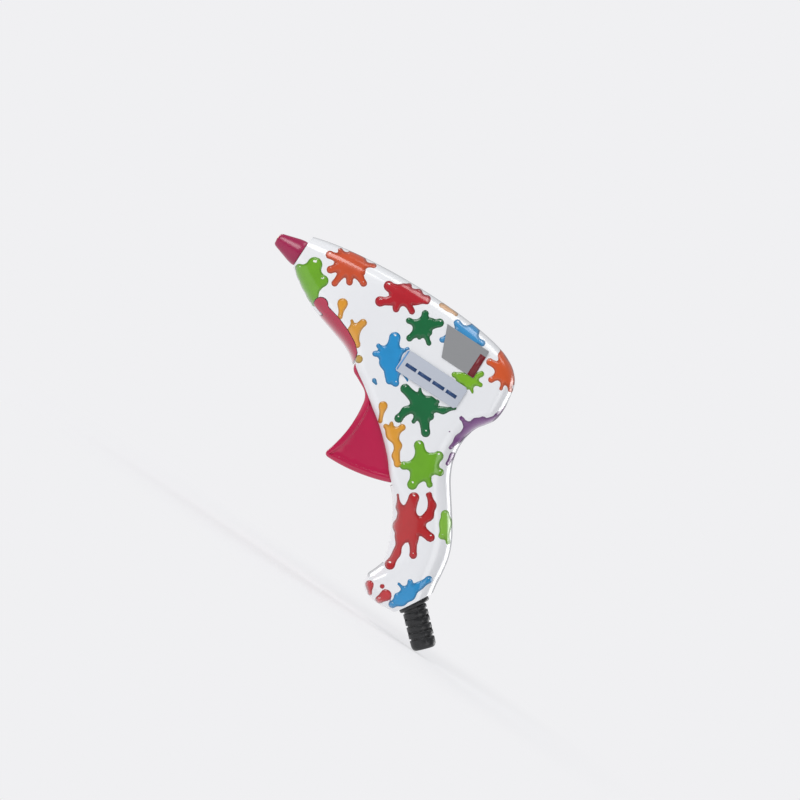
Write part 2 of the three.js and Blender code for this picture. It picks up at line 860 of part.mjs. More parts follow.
const shells = assembly();
add(shells, "left_housing", leftHalf(), whitePlastic);
add(shells, "right_housing", rightHalf(), whitePlastic);
add(shells, "name_plate", label(NAME_PLATE, [0.1, 0.9]), paleFoil);
add(shells, "rating_label", label(RATING_LABEL, [0.1, 0.4]), greyFoil);
SCREW_PLACES.forEach(([x, z], i) => {
  const length = 13.4;
  const mesh = add(shells, `housing_screw_${i + 1}`, screw(length, 1.15, 2.3), steel);
  mesh.position.set(x, 6.6 - length, z);
});

const heater = assembly();
add(heater, "nozzle", nozzle(), brass);
add(heater, "nozzle_cover", nozzleCover(), pinkSilicone);
add(heater, "check_ball", new THREE.SphereGeometry(2, 12, 8).translate(9.75, 0, 0), steel);
add(heater, "valve_spring", wire(new Coil(-2.5, 7, 1.55, 5), 0.3, 5, 50), steel);
add(heater, "front_ring", pipe([8, 11.6], 7.5, 5.9), fibre);
add(heater, "melt_chamber", meltChamber(), aluminium);
add(heater, "heater_pill", block([24, 36], [-3.3, 3.3], [-10.65, -8.95]), ceramic);
add(heater, "upper_electrode", electrode(1, -8.55), copper);
add(heater, "lower_electrode", electrode(-1, -11.05), copper);
add(heater, "insulation_film", insulationFilm(), polyimide);
add(heater, "heat_shield", heatShield(), fibre);
add(heater, "inlet_sleeve", inletSleeve(), whiteSilicone);
add(heater, "sleeve_clamp", sleeveClamp(), steel);

const feed = assembly();
add(feed, "trigger", trigger(), pinkPlastic);
add(feed, "trigger_pin", crossRod(TRIGGER_PIVOT, 1.5, [-11.6, 11.6]), steel);
add(feed, "link_pin", crossRod(LINK_FRONT, 1.2, [-4.6, 4.6], 12), steel);
add(feed, "pull_link", pullLink(), steel);
add(feed, "feed_carriage", feedCarriage(), blackPlastic);
add(feed, "stick_gripper", stickGripper(), blackPlastic);
add(feed, "gripper_pin", crossRod(GRIPPER_PIVOT, 1.05, [-4.7, 4.7], 12), steel);
add(feed, "return_spring", wire(new Coil(59.4, 78.3, 6.5, 5.5), 0.45, 5, 66), steel);
add(feed, "stick_guide", stickGuide(), whitePlastic);

add(assembly(), "stand", stand(), pinkPlastic);

const cordEntry = assembly();
add(cordEntry, "strain_relief", strainRelief(), blackRubber);
add(cordEntry, "cord_clamp", cordClamp(), blackPlastic);
[4.3, -4.3].forEach((along, i) => {
  const [x, z] = clampPlace(along);
  const length = 8.5;
  const mesh = add(cordEntry, `clamp_screw_${i + 1}`, screw(length, 0.75, 1.9), steel);
  mesh.position.set(x, 3 - length, z);
});

const wiring = assembly();
[-1, 1].forEach((side, i) => {
  const path = leadPath(side);
  add(wiring, `lead_${i + 1}`, wire(path, 0.85, 6, 40), whiteSilicone);
  const mesh = add(wiring, `crimp_${i + 1}`, crimp(), blackPlastic);
  mesh.position.set(113.2, side * 3.4, -73);
  mesh.rotation.y = radians(74);
});

// The origin goes to the middle of the foot of the bounding box.
const box = new THREE.Box3().setFromObject(gun);
const middle = box.getCenter(new THREE.Vector3());
gun.position.set(-middle.x, -middle.y, -box.min.z);

export default gun;
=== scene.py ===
# Mini hot-melt glue gun: a white two-part housing printed with splashes of paint, a crimson trigger, a pink
# folding stand and nozzle cover, and a black strain relief.
import math
import bmesh
import bpy
import numpy as np
from mathutils import Matrix, Vector
from mathutils.bvhtree import BVHTree
from mathutils.geometry import delaunay_2d_cdt


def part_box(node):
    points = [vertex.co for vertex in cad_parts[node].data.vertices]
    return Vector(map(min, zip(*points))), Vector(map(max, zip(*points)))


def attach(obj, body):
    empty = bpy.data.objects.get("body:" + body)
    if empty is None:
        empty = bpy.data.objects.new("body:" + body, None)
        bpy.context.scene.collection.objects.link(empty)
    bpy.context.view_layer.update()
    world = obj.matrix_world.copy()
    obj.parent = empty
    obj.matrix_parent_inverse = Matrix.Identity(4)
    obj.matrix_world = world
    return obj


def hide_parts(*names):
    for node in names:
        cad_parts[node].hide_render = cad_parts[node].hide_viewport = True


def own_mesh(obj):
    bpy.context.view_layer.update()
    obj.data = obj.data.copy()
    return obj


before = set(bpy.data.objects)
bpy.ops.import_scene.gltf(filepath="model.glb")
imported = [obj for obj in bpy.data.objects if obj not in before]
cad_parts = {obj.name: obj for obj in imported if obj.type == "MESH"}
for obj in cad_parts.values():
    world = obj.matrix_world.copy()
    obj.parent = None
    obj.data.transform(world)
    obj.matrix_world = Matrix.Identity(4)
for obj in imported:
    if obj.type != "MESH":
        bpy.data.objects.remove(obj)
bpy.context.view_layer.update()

# ---------------------------------------------------------------- camera, light and floor
# A plain pale studio. The camera looks square on at the gun's left side with a long lens, and rolls so that
# the barrel points up to the left. Sizes below are millimetres in the gun's own frame: x runs back along the
# barrel from the foot of the nozzle cover, z up, y across, and `place` turns them into metres.
MM = 0.001
COVER_FOOT = 0.1
low, high = (Vector(corner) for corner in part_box("nozzle_cover"))
AXIS = Vector((high.x - COVER_FOOT * MM, (low.y + high.y) / 2, (low.z + high.z) / 2))


def place(x, y, z):
    """A point of the gun's own frame in the scene's metres."""
    return AXIS + Vector((x, y, z)) * MM


def linear(colour):
    """An sRGB hex colour as linear RGBA."""
    parts = [int(colour[i : i + 2], 16) / 255 for i in (1, 3, 5)]
    return [c / 12.92 if c <= 0.04045 else ((c + 0.055) / 1.055) ** 2.4 for c in parts] + [1]


def add_node(tree, kind, inputs=None, **settings):
    """A new shader node with its settings, and its inputs given as values or as sockets to link."""
    made = tree.nodes.new("ShaderNode" + kind)
    for name, value in settings.items():
        setattr(made, name, value)
    for name, value in (inputs or {}).items():
        if isinstance(value, bpy.types.NodeSocket):
            tree.links.new(value, made.inputs[name])
        else:
            made.inputs[name].default_value = value
    return made


def new_material(name):
    """An empty material, with its tree and its output node."""
    made = bpy.data.materials.new(name)
    made.use_nodes = True
    made.node_tree.nodes.clear()
    return made, made.node_tree, made.node_tree.nodes.new("ShaderNodeOutputMaterial")


def new_object(name, points, faces, material=None):
    """A smooth mesh object from points in metres."""
    mesh = bpy.data.meshes.new(name)
    mesh.from_pydata([tuple(point) for point in points], [], faces)
    mesh.validate()
    made = bpy.data.objects.new(name, mesh)
    bpy.context.scene.collection.objects.link(made)
    mesh.shade_smooth()
    if material:
        mesh.materials.append(material)
    return made


ROLL = math.radians(33.5)
LENS = 200
DISTANCE = 1.933
right = Vector((math.cos(ROLL), 0, math.sin(ROLL)))
up = Vector((-math.sin(ROLL), 0, math.cos(ROLL)))
camera = bpy.data.objects.new("camera", bpy.data.cameras.new("camera"))
bpy.context.scene.collection.objects.link(camera)
camera.data.lens = LENS
camera.matrix_world = Matrix.Translation(place(71, 0, -29.1) - Vector((0, DISTANCE, 0))) @ Matrix(
    (right, up, (0, -1, 0))
).transposed().to_4x4()
bpy.context.scene.camera = camera
bpy.context.scene.view_settings.view_transform = "Standard"

BACKGROUND = linear("#f0f0f2")
world = bpy.data.worlds.new("studio")
bpy.context.scene.world = world
world.use_nodes = True
world.node_tree.nodes["Background"].inputs["Color"].default_value = linear("#f4f6fb")
world.node_tree.nodes["Background"].inputs["Strength"].default_value = 0.3


def softbox(name, toward, distance, size, power):
    """A square area light that faces the gun from a direction."""
    lamp = bpy.data.objects.new(name, bpy.data.lights.new(name, "AREA"))
    bpy.context.scene.collection.objects.link(lamp)
    lamp.data.size = size
    lamp.data.energy = power
    middle = place(60, 0, -30)
    lamp.location = middle + Vector(toward).normalized() * distance
    lamp.rotation_euler = (middle - lamp.location).to_track_quat("-Z", "Y").to_euler()


softbox("key", (-0.75, -0.8, 0.85), 1.1, 0.6, 5.9)
softbox("fill", (0.9, -0.9, 0.1), 1.2, 0.7, 2.5)
softbox("top", (0.1, 0.15, 1), 1.1, 0.6, 3)
softbox("back_left", (-0.8, 0.9, 0.5), 1.2, 0.6, 3.5)
softbox("back_right", (0.9, 0.8, 0.3), 1.2, 0.6, 3.5)


def backdrop():
    """A pale sphere that only the camera sees, so that every view has the same plain ground."""
    material, tree, output = new_material("backdrop")
    glow = add_node(tree, "Emission", {"Color": BACKGROUND})
    tree.links.new(glow.outputs[0], output.inputs["Surface"])
    bpy.ops.mesh.primitive_uv_sphere_add(radius=6, segments=48, ring_count=24)
    sphere = bpy.context.object
    sphere.name = "backdrop"
    sphere.data.materials.append(material)
    for kind in ("diffuse", "glossy", "transmission", "volume_scatter", "shadow"):
        setattr(sphere, "visible_" + kind, False)
    return sphere


FLOOR_GAP = 0.0002  # metres between the gun's lowest point and the floor


def floor():
    """A disc under the gun that takes its shadow and fades into the backdrop."""
    radius = 1.2
    material, tree, output = new_material("pale_floor")
    position = add_node(tree, "TexCoord").outputs["Object"]
    away = add_node(tree, "VectorMath", {0: position}, operation="LENGTH").outputs["Value"]
    ranged = {"Value": away, "From Min": 0.06, "From Max": 0.22, "To Min": 0.62, "To Max": 1.0}
    fade = add_node(tree, "MapRange", ranged, interpolation_type="SMOOTHSTEP")
    paper = add_node(tree, "BsdfPrincipled", {"Base Color": linear("#f6f6f8"), "Roughness": 0.9})
    glow = add_node(tree, "Emission", {"Color": BACKGROUND})
    mixed = add_node(tree, "MixShader", {0: fade.outputs[0], 1: paper.outputs[0], 2: glow.outputs[0]})
    tree.links.new(mixed.outputs[0], output.inputs["Surface"])
    angles = np.linspace(0, math.tau, 96, endpoint=False)
    ring = [(radius * math.cos(a), radius * math.sin(a), -FLOOR_GAP) for a in angles]
    return new_object("floor", ring, [list(range(len(ring)))], material)


backdrop()
floor()

# ---------------------------------------------------------------- housing
# Two halves injection moulded in glossy white ABS, 28 mm wide together, with rounded edges that meet in a
# fine groove. The paint splashes are printed on under a clear gloss, and the same print is on both sides.
SIDE_HALF = 14
NOSE_HALF = 8.5
TAPER_END = 48
FULLNESS = 2.4  # exponent of the superellipse that rounds the edges
SKIN = 1.1  # depth of the smooth skin that goes over the ribbed inside
SEAM_GROOVE = 0.3  # depth of the groove where the halves meet
NOSE_FACE = 0.4
SCREW_WELL = 2.5  # radius of the wells that the screws sink in
TRIGGER_PIVOT = (50.5, -26.5)
STAND_PIVOT = (19.6, -13.6)
RELIEF_SEAT = (124.2, -99.3)
SEAT_POINT = (RELIEF_SEAT[0], 0, RELIEF_SEAT[1])
SEAT_ANGLE = 30
SEAT_TURN = Matrix.Rotation(math.radians(SEAT_ANGLE), 3, "Y")
SCREWS = ((33, 11), (96, 10.4), (66, -22), (99.5, -68), (105.8, -102))

# Side view, clockwise from the virtual tip of the nose: x, z and the radius of the edge there.
OUTLINE = (
    (-9.5, 1.6, 2), (-6, 6.6, 3.6), (0.5, 9.2, 6.5), (8, 11.3, 8), (16, 12.9, 9), (28, 14.6, 10),
    (42, 15.9, 10), (58, 16.5, 10), (74, 16.2, 10), (88, 14.9, 9.5), (98, 12.6, 9), (105, 8.8, 8),
    (109.3, 3.2, 7.5), (110.6, -3, 7), (111, -9.5, 6.5), (110.2, -14, 5.5), (108, -17.6, 6.5),
    (105.4, -21.5, 8), (104, -26.5, 9.5), (103.8, -32, 10.5), (105, -38.5, 11), (108, -45, 11),
    (112.5, -51.5, 11), (118, -59, 11), (123, -66.5, 11), (126.3, -74, 11), (127.9, -82, 10.5),
    (128.6, -88, 9.5), (129.6, -93.5, 8), (130, -98.5, 7), (127.6, -104, 6.5), (122.3, -106.9, 6.5),
    (116, -107.8, 7), (110.5, -108.2, 7), (105, -107, 5.5), (101.5, -103.6, 4.5), (100.9, -99.8, 4.8),
    (102.3, -96, 6.5), (103.4, -92, 9), (102.6, -87.5, 11), (100, -81, 11), (96.3, -73.5, 11),
    (92.3, -67.3, 8), (88.6, -63.2, 5), (84.6, -59.5, 4), (78.9, -53, 4.5), (68.9, -44.2, 5),
    (61, -38.6, 5), (53.8, -33.4, 5), (47.2, -29.2, 5), (43, -25.6, 6), (38, -22.9, 7), (30, -20.4, 8),
    (22, -18.1, 8), (16, -16, 7.5), (10, -12.9, 7), (5, -9.9, 6.5), (0.5, -6.6, 6), (-6, -3, 3.6),
)  # fmt: skip


def spaced(line, count):
    """Points at equal steps along a closed line of many points."""
    closed = np.vstack([line, line[:1]])
    along = np.concatenate([[0], np.cumsum(np.linalg.norm(np.diff(closed, axis=0), axis=1))])
    steps = np.linspace(0, along[-1], count, endpoint=False)
    return np.stack([np.interp(steps, along, column) for column in closed.T], axis=1)


def closed_curve(points, count):
    """A centripetal Catmull-Rom curve through the points, at equal steps."""
    knots = np.array(points, float)
    line = []
    for i in range(len(knots)):
        p0, p1, p2, p3 = (knots[(i + j) % len(knots)] for j in (-1, 0, 1, 2))
        d0, d1, d2 = (np.linalg.norm(b - a) ** 0.5 for a, b in ((p0, p1), (p1, p2), (p2, p3)))
        start = ((p1 - p0) / d0 - (p2 - p0) / (d0 + d1) + (p2 - p1) / d1) * d1
        end = ((p2 - p1) / d1 - (p3 - p1) / (d1 + d2) + (p3 - p2) / d2) * d1
        for t in np.linspace(0, 1, 24, endpoint=False):
            a, b = 2 * t**3 - 3 * t**2 + 1, t**3 - 2 * t**2 + t
            line.append(a * p1 + b * start + (1 - a) * p2 + (t**3 - t**2) * end)
    return spaced(np.array(line), count)


def half_width(x):
    """Half the housing's width at a distance along the barrel."""
    ahead = np.maximum(0, 1 - np.asarray(x) / TAPER_END)
    return SIDE_HALF - (SIDE_HALF - NOSE_HALF) * ahead**1.6


def rim_at(stations, depth):
    """The stations' points, drawn in from the outline by a depth."""
    ahead = np.roll(stations, -1, axis=0) - np.roll(stations, 1, axis=0)
    inward = np.stack([ahead[:, 2], -ahead[:, 0]], axis=1)
    inward /= np.linalg.norm(inward, axis=1)[:, None]
    return stations[:, [0, 2]] + inward * depth[:, None]


def filled(rim, spacing):
    """A flat face inside a rim, with points at a spacing across it, as points and triangles."""
    low, high = rim.min(axis=0), rim.max(axis=0)
    columns, rows = (np.arange(low[i], high[i], spacing) for i in (0, 1))
    grid = np.stack(np.meshgrid(columns, rows), -1).reshape(-1, 2)
    clear = np.full(len(grid), 1e9)
    inside = np.zeros(len(grid), bool)
    for a, b in zip(rim, np.roll(rim, -1, axis=0)):
        clear = np.minimum(clear, np.hypot(*(grid - a).T))
        crosses = (a[1] > grid[:, 1]) != (b[1] > grid[:, 1])
        if crosses.any():
            slope = (b[0] - a[0]) / (b[1] - a[1] + 1e-12)
            inside ^= crosses & (grid[:, 0] < a[0] + (grid[:, 1] - a[1]) * slope)
    points = [Vector(p) for p in np.vstack([rim, grid[inside & (clear > spacing * 0.6)]])]
    edges = [(i, (i + 1) % len(rim)) for i in range(len(rim))]
    made = delaunay_2d_cdt(points, edges, [], 1, 1e-7)
    return np.array([tuple(p) for p in made[0]]), made[2]


def edged_form(name, stations, levels, half_at, spacing, material=None):
    """A closed form with rounded edges. Each level is how far it is drawn in, as a share of the edge's radius
    plus millimetres, and its height across the gun, as a share of the half width plus millimetres."""
    points, faces = [], []
    count = len(stations)
    for share, extra, rise, height in levels:
        rim = rim_at(stations, stations[:, 1] * share + extra)
        points += [(x, y, z) for (x, z), y in zip(rim, half_at(rim[:, 0]) * rise + height)]
    for ring in range(len(levels) - 1):
        for i in range(count):
            a, b = ring * count + i, ring * count + (i + 1) % count
            faces.append((a, b, b + count, a + count))
    for share, extra, rise, height in (levels[0], levels[-1]):
        start = 0 if (share, extra, rise, height) == levels[0] else len(levels) * count - count
        cap_rim = rim_at(stations, stations[:, 1] * share + extra)
        cap, triangles = filled(cap_rim, spacing if abs(rise) > 0.5 else 6)
        moved = len(points) - count
        points += [(x, half_at(x) * rise + height, z) for x, z in cap[count:]]
        faces += [[i + (start if i < count else moved) for i in triangle] for triangle in triangles]
    made = new_object(name, [place(*p) for p in points], faces, material)
    outward(made)
    return made


def outward(piece):
    """Welds a closed mesh's corners and turns its faces outward."""
    shape = bmesh.new()
    shape.from_mesh(piece.data)
    bmesh.ops.remove_doubles(shape, verts=shape.verts, dist=0.0005 * MM)
    bmesh.ops.recalc_face_normals(shape, faces=shape.faces)
    shape.to_mesh(piece.data)
    shape.free()


def edge_levels(rings, inset=0.0):
    """Levels from the middle plane to the right side face, along a superellipse."""
    levels = []
    for ring in range(rings + 1):
        angle = math.pi / 2 * ring / rings
        drawn = 1 if ring == rings else 1 - math.cos(angle) ** (2 / FULLNESS)
        rise = math.sin(angle) ** (2 / FULLNESS)
        levels.append((drawn, inset * (1 - drawn), rise, -inset * rise))
    return levels


def mirrored(levels):
    """The same levels on the left side."""
    return [(share, extra, -rise, -height) for share, extra, rise, height in levels]


def half_levels(side):
    """The fine levels of one housing half, with the groove where the halves meet."""
    levels = edge_levels(16)
    levels[0] = (0, SEAM_GROOVE, 0, 0.05)
    levels[1:1] = [(0, SEAM_GROOVE * 0.25, 0, 0.18), (0, 0, 0, 0.42)]
    return levels if side > 0 else mirrored(levels)


def cad_copy(name):
    """A welded copy of a CAD node, to cut or join, without its stored normals."""
    made = new_object("tool", [], [])
    made.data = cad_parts[name].data.copy()
    stored = made.data.attributes.get("custom_normal")
    if stored:
        made.data.attributes.remove(stored)
    outward(made)
    return made


def carve(piece, how, *tools):
    """Cuts, joins or intersects a piece with closed tools, which are then deleted."""
    for tool in tools:
        step = piece.modifiers.new("carve", "BOOLEAN")
        step.operation = how
        step.solver = "MANIFOLD"
        step.object = tool
        bpy.context.view_layer.update()
        result = bpy.data.meshes.new_from_object(piece.evaluated_get(bpy.context.evaluated_depsgraph_get()))
        piece.modifiers.clear()
        piece.data = result
        bpy.data.objects.remove(tool)
    return piece


def prism(points, y0, y1):
    """A flat outline of x, z points given thickness across the gun."""
    count = len(points)
    corners = [place(x, y, z) for y in (y0, y1) for x, z in points]
    walls = [(i, (i + 1) % count, count + (i + 1) % count, count + i) for i in range(count)]
    made = new_object("tool", corners, [tuple(range(count)), tuple(range(count, 2 * count))] + walls)
    outward(made)
    return made


def circle(centre, radius, sides=48, first=0, last=360):
    """Points on a circle or an arc."""
    closed = last - first == 360
    angles = np.radians(np.linspace(first, last, sides, endpoint=not closed))
    return [(centre[0] + radius * math.cos(a), centre[1] + radius * math.sin(a)) for a in angles]


def turned(name, profile, sides=64, start=(0, 0, 0), turn=None, material=None):
    """A profile of x, radius points turned about the barrel's axis, or about a line through start that a
    rotation takes that axis to. It closes on itself, or starts and ends on that line."""
    points, faces = [], []
    turn = turn or Matrix.Identity(3)
    rings = []
    for x, radius in profile:
        count = sides if radius > 1e-6 else 1
        rings.append((len(points), count))
        for i in range(count):
            angle = math.tau * i / sides
            bent = turn @ Vector((x, radius * math.cos(angle), radius * math.sin(angle)))
            points.append(place(*(Vector(start) + bent)))
    loop = [*zip(rings, rings[1:])] + ([(rings[-1], rings[0])] if profile[0][1] > 1e-6 else [])
    for (a, many_a), (b, many_b) in loop:
        for i in range(sides):
            j = (i + 1) % sides
            corners = [a + i % many_a, a + j % many_a, b + j % many_b, b + i % many_b]
            faces.append([c for k, c in enumerate(corners) if c not in corners[:k]])
    made = new_object(name, points, faces, material)
    outward(made)
    return made


def rod(centre, radius, y0, y1, sides=48):
    """A round bar across the gun."""
    return prism(circle(centre, radius, sides), y0, y1)


def bore(x0, x1, radius, sides=64, start=(0, 0, 0), turn=None):
    """A tool for a round hole along the barrel's axis, or along a line through start."""
    return turned("tool", [(x0, 0), (x0, radius), (x1, radius), (x1, 0)], sides, start, turn)


def at_seat(points):
    """Points drawn along the relief's line from its seat, turned and moved to the handle."""
    cos, sin = math.cos(math.radians(SEAT_ANGLE)), math.sin(math.radians(SEAT_ANGLE))
    return [(RELIEF_SEAT[0] + x * cos + z * sin, RELIEF_SEAT[1] - x * sin + z * cos) for x, z in points]


def box_outline(x0, x1, z0, z1):
    """The four corners of a rectangle."""
    return [(x0, z0), (x1, z0), (x1, z1), (x0, z1)]


# The print. Each splash is a colour, a pool of round blobs, and fingers that run out of the first blob.
SPLASHES = (
    ("#d2522a", [(20.5, 8.5, 4), (21.5, 11.5, 4), (24.5, 9, 2.3)],
     [[(11, 6.5, 1.5)], [(14.8, 1.3, 1.4)], [(19.6, -2.6, 1.2)], [(24.7, 1.3, 1.2)], [(30, 4.3, 1.3)],
      [(27.3, 8.3, 0.6)], [(29.5, 13.2, 0.9)], [(13.6, 10.8, 0.8)], [(20, 15, 2)]]),
    ("#6fae1e", [(8.5, -6, 4.6), (12.3, -8.3, 3.8), (14, -12, 2.8), (5, -7.5, 2.8), (9, -11, 3.5)],
     [[(7.9, -0.6, 2.8)], [(14.6, -4.6, 2.2)], [(17, -14.6, 1.1)], [(3, -5.6, 1.5)]]),
    ("#bb1526", [(46.6, 9.4, 3.7), (50, 10.6, 2.6), (45.6, 12.2, 2)],
     [[(39.8, 9.3, 1.9)], [(43.6, 4, 1.3), (40.4, 1.7, 1.9)], [(47.9, 2.7, 1.2)], [(54.2, 5.6, 1.1)],
      [(53.5, 10.6, 1.1), (57, 12.8, 1.1)], [(56.6, 14.3, 1)], [(52, 14.4, 1.2)], [(47, 14.8, 0.6)]]),
    ("#006b38", [(61.6, 2.8, 2.7)],
     [[(59.5, 8, 1.3)], [(66.9, 8.1, 1.6)], [(63.3, 7.2, 0.4)], [(55.3, 1.6, 1.1)], [(59.7, -4.6, 1.2)],
      [(67.9, -1.8, 0.9)], [(63.2, -2.2, 0.5)], [(66, 2.2, 0.5)]]),
    ("#e8a02e", [(27.3, -8, 2)], [[(29.6, -13.4, 0.9)]]),
    ("#e3a03c", [(38, -15.6, 1)], [[(34.7, -12, 0.5)], [(39.3, -10.1, 1.4)], [(42.4, -19.4, 1.2)]]),
    ("#c9a03a", [(46.4, -24.2, 1.8)], []),
    ("#2093d2", [(57.3, -15.3, 4.3), (60, -19, 3.8), (57, -19, 3), (61.8, -21.8, 2.8)],
     [[(54.3, -7.9, 2.1)], [(61.6, -8.9, 0.7)], [(50.3, -14.7, 0.8)], [(51, -18.4, 1)], [(69, -20.2, 0.4)],
      [(65.4, -24.1, 1.3)], [(62.5, -25, 1)]]),
    ("#3a8fc4", [(57, -28.2, 0.5)], [[(58.8, -29.1, 0.3)]]),
    ("#e9b88a", [(66.3, 16.2, 1.5)], [[(63.4, 15, 0.9)], [(70.6, 15.3, 0.8)]]),
    ("#3d96d0", [(80, 9.8, 4), (81.3, 13, 2), (76, 6, 4)],
     [[(73.4, 12.3, 1.4)], [(81, 16.4, 1.9)], [(87, 11, 1.2)], [(71.8, 2.6, 1)]]),
    ("#7fbb1e", [(90.8, -5.4, 2.9), (87.6, -6.4, 1.9)],
     [[(84.5, -7, 1)], [(94, -0.4, 1.1)], [(96.4, -4.5, 0.8)], [(95.2, -9, 0.5)], [(92.6, -11.4, 0.3)],
      [(88, -8.9, 0.4)]]),
    ("#dd5a26", [(102.6, 6.6, 4.5), (104.2, 10, 3.8), (106.4, 6, 2.4)],
     [[(94.2, 6, 1.3)], [(96.6, 10.8, 0.9)], [(99, -0.1, 1.1)], [(104.7, -1, 0.6)], [(108.5, 0.9, 0.9)],
      [(95.2, 14.4, 0.8)], [(110.4, 5, 0.8)]]),
    ("#7c4187", [(105.4, -19.2, 1.7)],
     [[(108.6, -15.4, 1.2), (110, -11, 0.7), (110.7, -6.6, 0.4)],
      [(102.6, -24, 1.5), (101.4, -29, 1.3), (100.6, -34.2, 0.7)], [(105.2, -15.8, 0.4)],
      [(102.7, -18.6, 0.6)], [(100.4, -22, 0.5), (97.4, -21, 0.8)]]),
    ("#7c4187", [(103.3, -36.5, 0.6)], [[(103.4, -40.6, 0.8)]]),
    ("#7c4187", [(96.5, -28.7, 0.5)], []),
    ("#006b38", [(80.6, -26, 4.5), (82, -22.6, 2.5)],
     [[(70.2, -23.8, 1.8)], [(75.6, -31.6, 1.3), (74.9, -36, 1.6)], [(81, -33.7, 0.7)], [(88, -34.7, 1.7)],
      [(86.4, -27.8, 0.9)], [(89, -22.6, 1.1), (92.6, -19, 0.7)], [(75.6, -20.4, 0.5)], [(85, -20.6, 0.5)]]),
    ("#e8a231", [(66.3, -35.2, 1.6)], [[(68.9, -41.4, 0.8)]]),
    ("#e8a231", [(76.5, -43.4, 1.8)],
     [[(73.5, -39.4, 0.6)], [(78.4, -38.4, 1.2)], [(81.2, -46, 1.2), (82.7, -50.2, 1.2), (85.3, -52.7, 1.3)],
      [(72, -42, 0.8)]]),
    ("#6fb01c", [(95, -47, 5.2), (97, -44.2, 3.4), (95.2, -51, 3.4)],
     [[(88.7, -40.9, 1.9)], [(98.2, -40.2, 1.9)], [(102.7, -45.6, 1.4)], [(101.9, -52.6, 1.1)],
      [(95.6, -56.6, 1.9)], [(88, -51.8, 1.5)]]),
    ("#bb161c", [(101.6, -70, 4), (105, -74, 3.8), (104, -77.6, 3), (101.2, -74.6, 3.4)],
     [[(99.3, -61, 2)], [(107, -69.6, 1.9), (109, -64, 1.6), (107.8, -59.4, 1.3), (104, -56.3, 1.1)],
      [(96.2, -68, 0.9), (92.8, -63.8, 0.4)], [(114.6, -71.4, 1.7)], [(109, -76, 1.5), (112.7, -81.8, 1.4)],
      [(106.3, -85, 1.3), (106.6, -90.8, 1.9)]]),
    ("#8cc741", [(117, -62.6, 1.7)], [[(114.6, -59.6, 1.6)], [(118.5, -68, 1.3)], [(122.4, -69, 0.8)]]),
    ("#2293d0", [(120.4, -97, 2.5), (119.6, -101, 2.2)],
     [[(122.2, -91.6, 1.3), (124.2, -87, 1.4)], [(117.9, -92.1, 0.9)], [(114.4, -95.6, 0.5)],
      [(116.4, -100.3, 0.8)], [(117, -104.6, 1.4)]]),
    ("#c8262e", [(109, -100.4, 1.1)], []),
    ("#c8262e", [(104, -102.9, 1.4)], [[(106.2, -106, 0.8)]]),
    ("#c8262e", [(112.4, -102.8, 1.4)], [[(111.2, -106, 1.5)]]),
)  # fmt: skip


def stroke(points, start, end):
    """Distance from points to a round-ended stroke between two blobs, below zero inside it."""
    a, b = np.array(start[:2]), np.array(end[:2])
    along = b - a
    t = np.clip(((points - a) @ along) / max(along @ along, 1e-9), 0, 1)
    return np.hypot(*(points - a - t[:, None] * along).T) - (start[2] + t * (end[2] - start[2]))


def run_together(first, second, width):
    """The lower of two distances, with a fillet of a width between them."""
    h = np.clip(0.5 + 0.5 * (second - first) / width, 0, 1)
    return second * (1 - h) + first * h - width * h * (1 - h)


def splash_depth(points, pool, fingers):
    """How deep points lie inside a splash, and how deep in the small painted highlights near its finger tips.
    """
    distance = stroke(points, pool[0], pool[0])
    painted_highlight = np.full(len(points), 9.0)
    for blob in pool[1:]:
        distance = run_together(distance, stroke(points, blob, blob), 1.2)
    for chain in fingers:
        neck = (*pool[0][:2], chain[0][2] * 1.6)
        for x, z, radius in chain:
            distance = run_together(distance, stroke(points, neck, (x, z, radius * 1.08)), 2.2)
            neck = (x, z, radius * 1.08)
        tip = (x, z, radius * 1.18)
        distance = run_together(distance, stroke(points, tip, tip), 0.5)
        x, z, radius = tip
        # Painted highlight: a small white streak at the upper left of each large finger tip, standing in for
        # light caught by the raised ink.
        if radius > 0.75:
            painted_highlight_spot = (x - 0.32 * radius, z + 0.32 * radius, 0.17 * radius)
            end = (painted_highlight_spot[0] + 0.25 * radius, painted_highlight_spot[1] + 0.15 * radius, painted_highlight_spot[2])
            painted_highlight = np.minimum(painted_highlight, stroke(points, painted_highlight_spot, end))
    return -distance, -painted_highlight


PRINT_CLEAR = 3.2  # the print stops short of the seam by this much, with a wave
PRINT_WAVE = 1.1


def print_splashes(piece):
    """Stores the print on a mesh: how deep each point lies in a splash and in a painted highlight, and its
    colour.
    """
    mesh = piece.data
    flat = np.empty(len(mesh.vertices) * 3)
    mesh.vertices.foreach_get("co", flat)
    x, y, z = ((flat.reshape(-1, 3) - np.array(AXIS)) / MM).T
    points = np.stack([x, z], axis=1)
    depth = np.full(len(points), -9.0)
    painted_highlight = np.full(len(points), -9.0)
    colour = np.ones((len(points), 4))
    for tint, pool, fingers in SPLASHES:
        inside, shine = splash_depth(points, pool, fingers)
        nearer = inside > depth
        colour[nearer] = linear(tint)
        depth = np.maximum(depth, inside)
        painted_highlight = np.maximum(painted_highlight, shine)
    clear = PRINT_CLEAR + PRINT_WAVE * np.sin(0.8 * x - 0.9 * z)
    depth = np.minimum(depth, np.abs(y) - clear)
    for name, values in (("splash_depth", depth), ("painted_highlight_depth", painted_highlight)):
        mesh.attributes.new(name, "FLOAT", "POINT").data.foreach_set("value", values.astype(np.float32))
    tints = mesh.attributes.new("splash_colour", "FLOAT_COLOR", "POINT")
    tints.data.foreach_set("color", colour.astype(np.float32).ravel())


CLOUD_MM = 22  # size of the patches where moulded plastic cooled to a slightly other tone
INK_BLOTCH_MM = 5  # size of the patches where the ink lies thicker or thinner
INK_HEIGHT_MM = 0.45  # how far the ink seems to stand up, drawn thicker than it is so that it shows


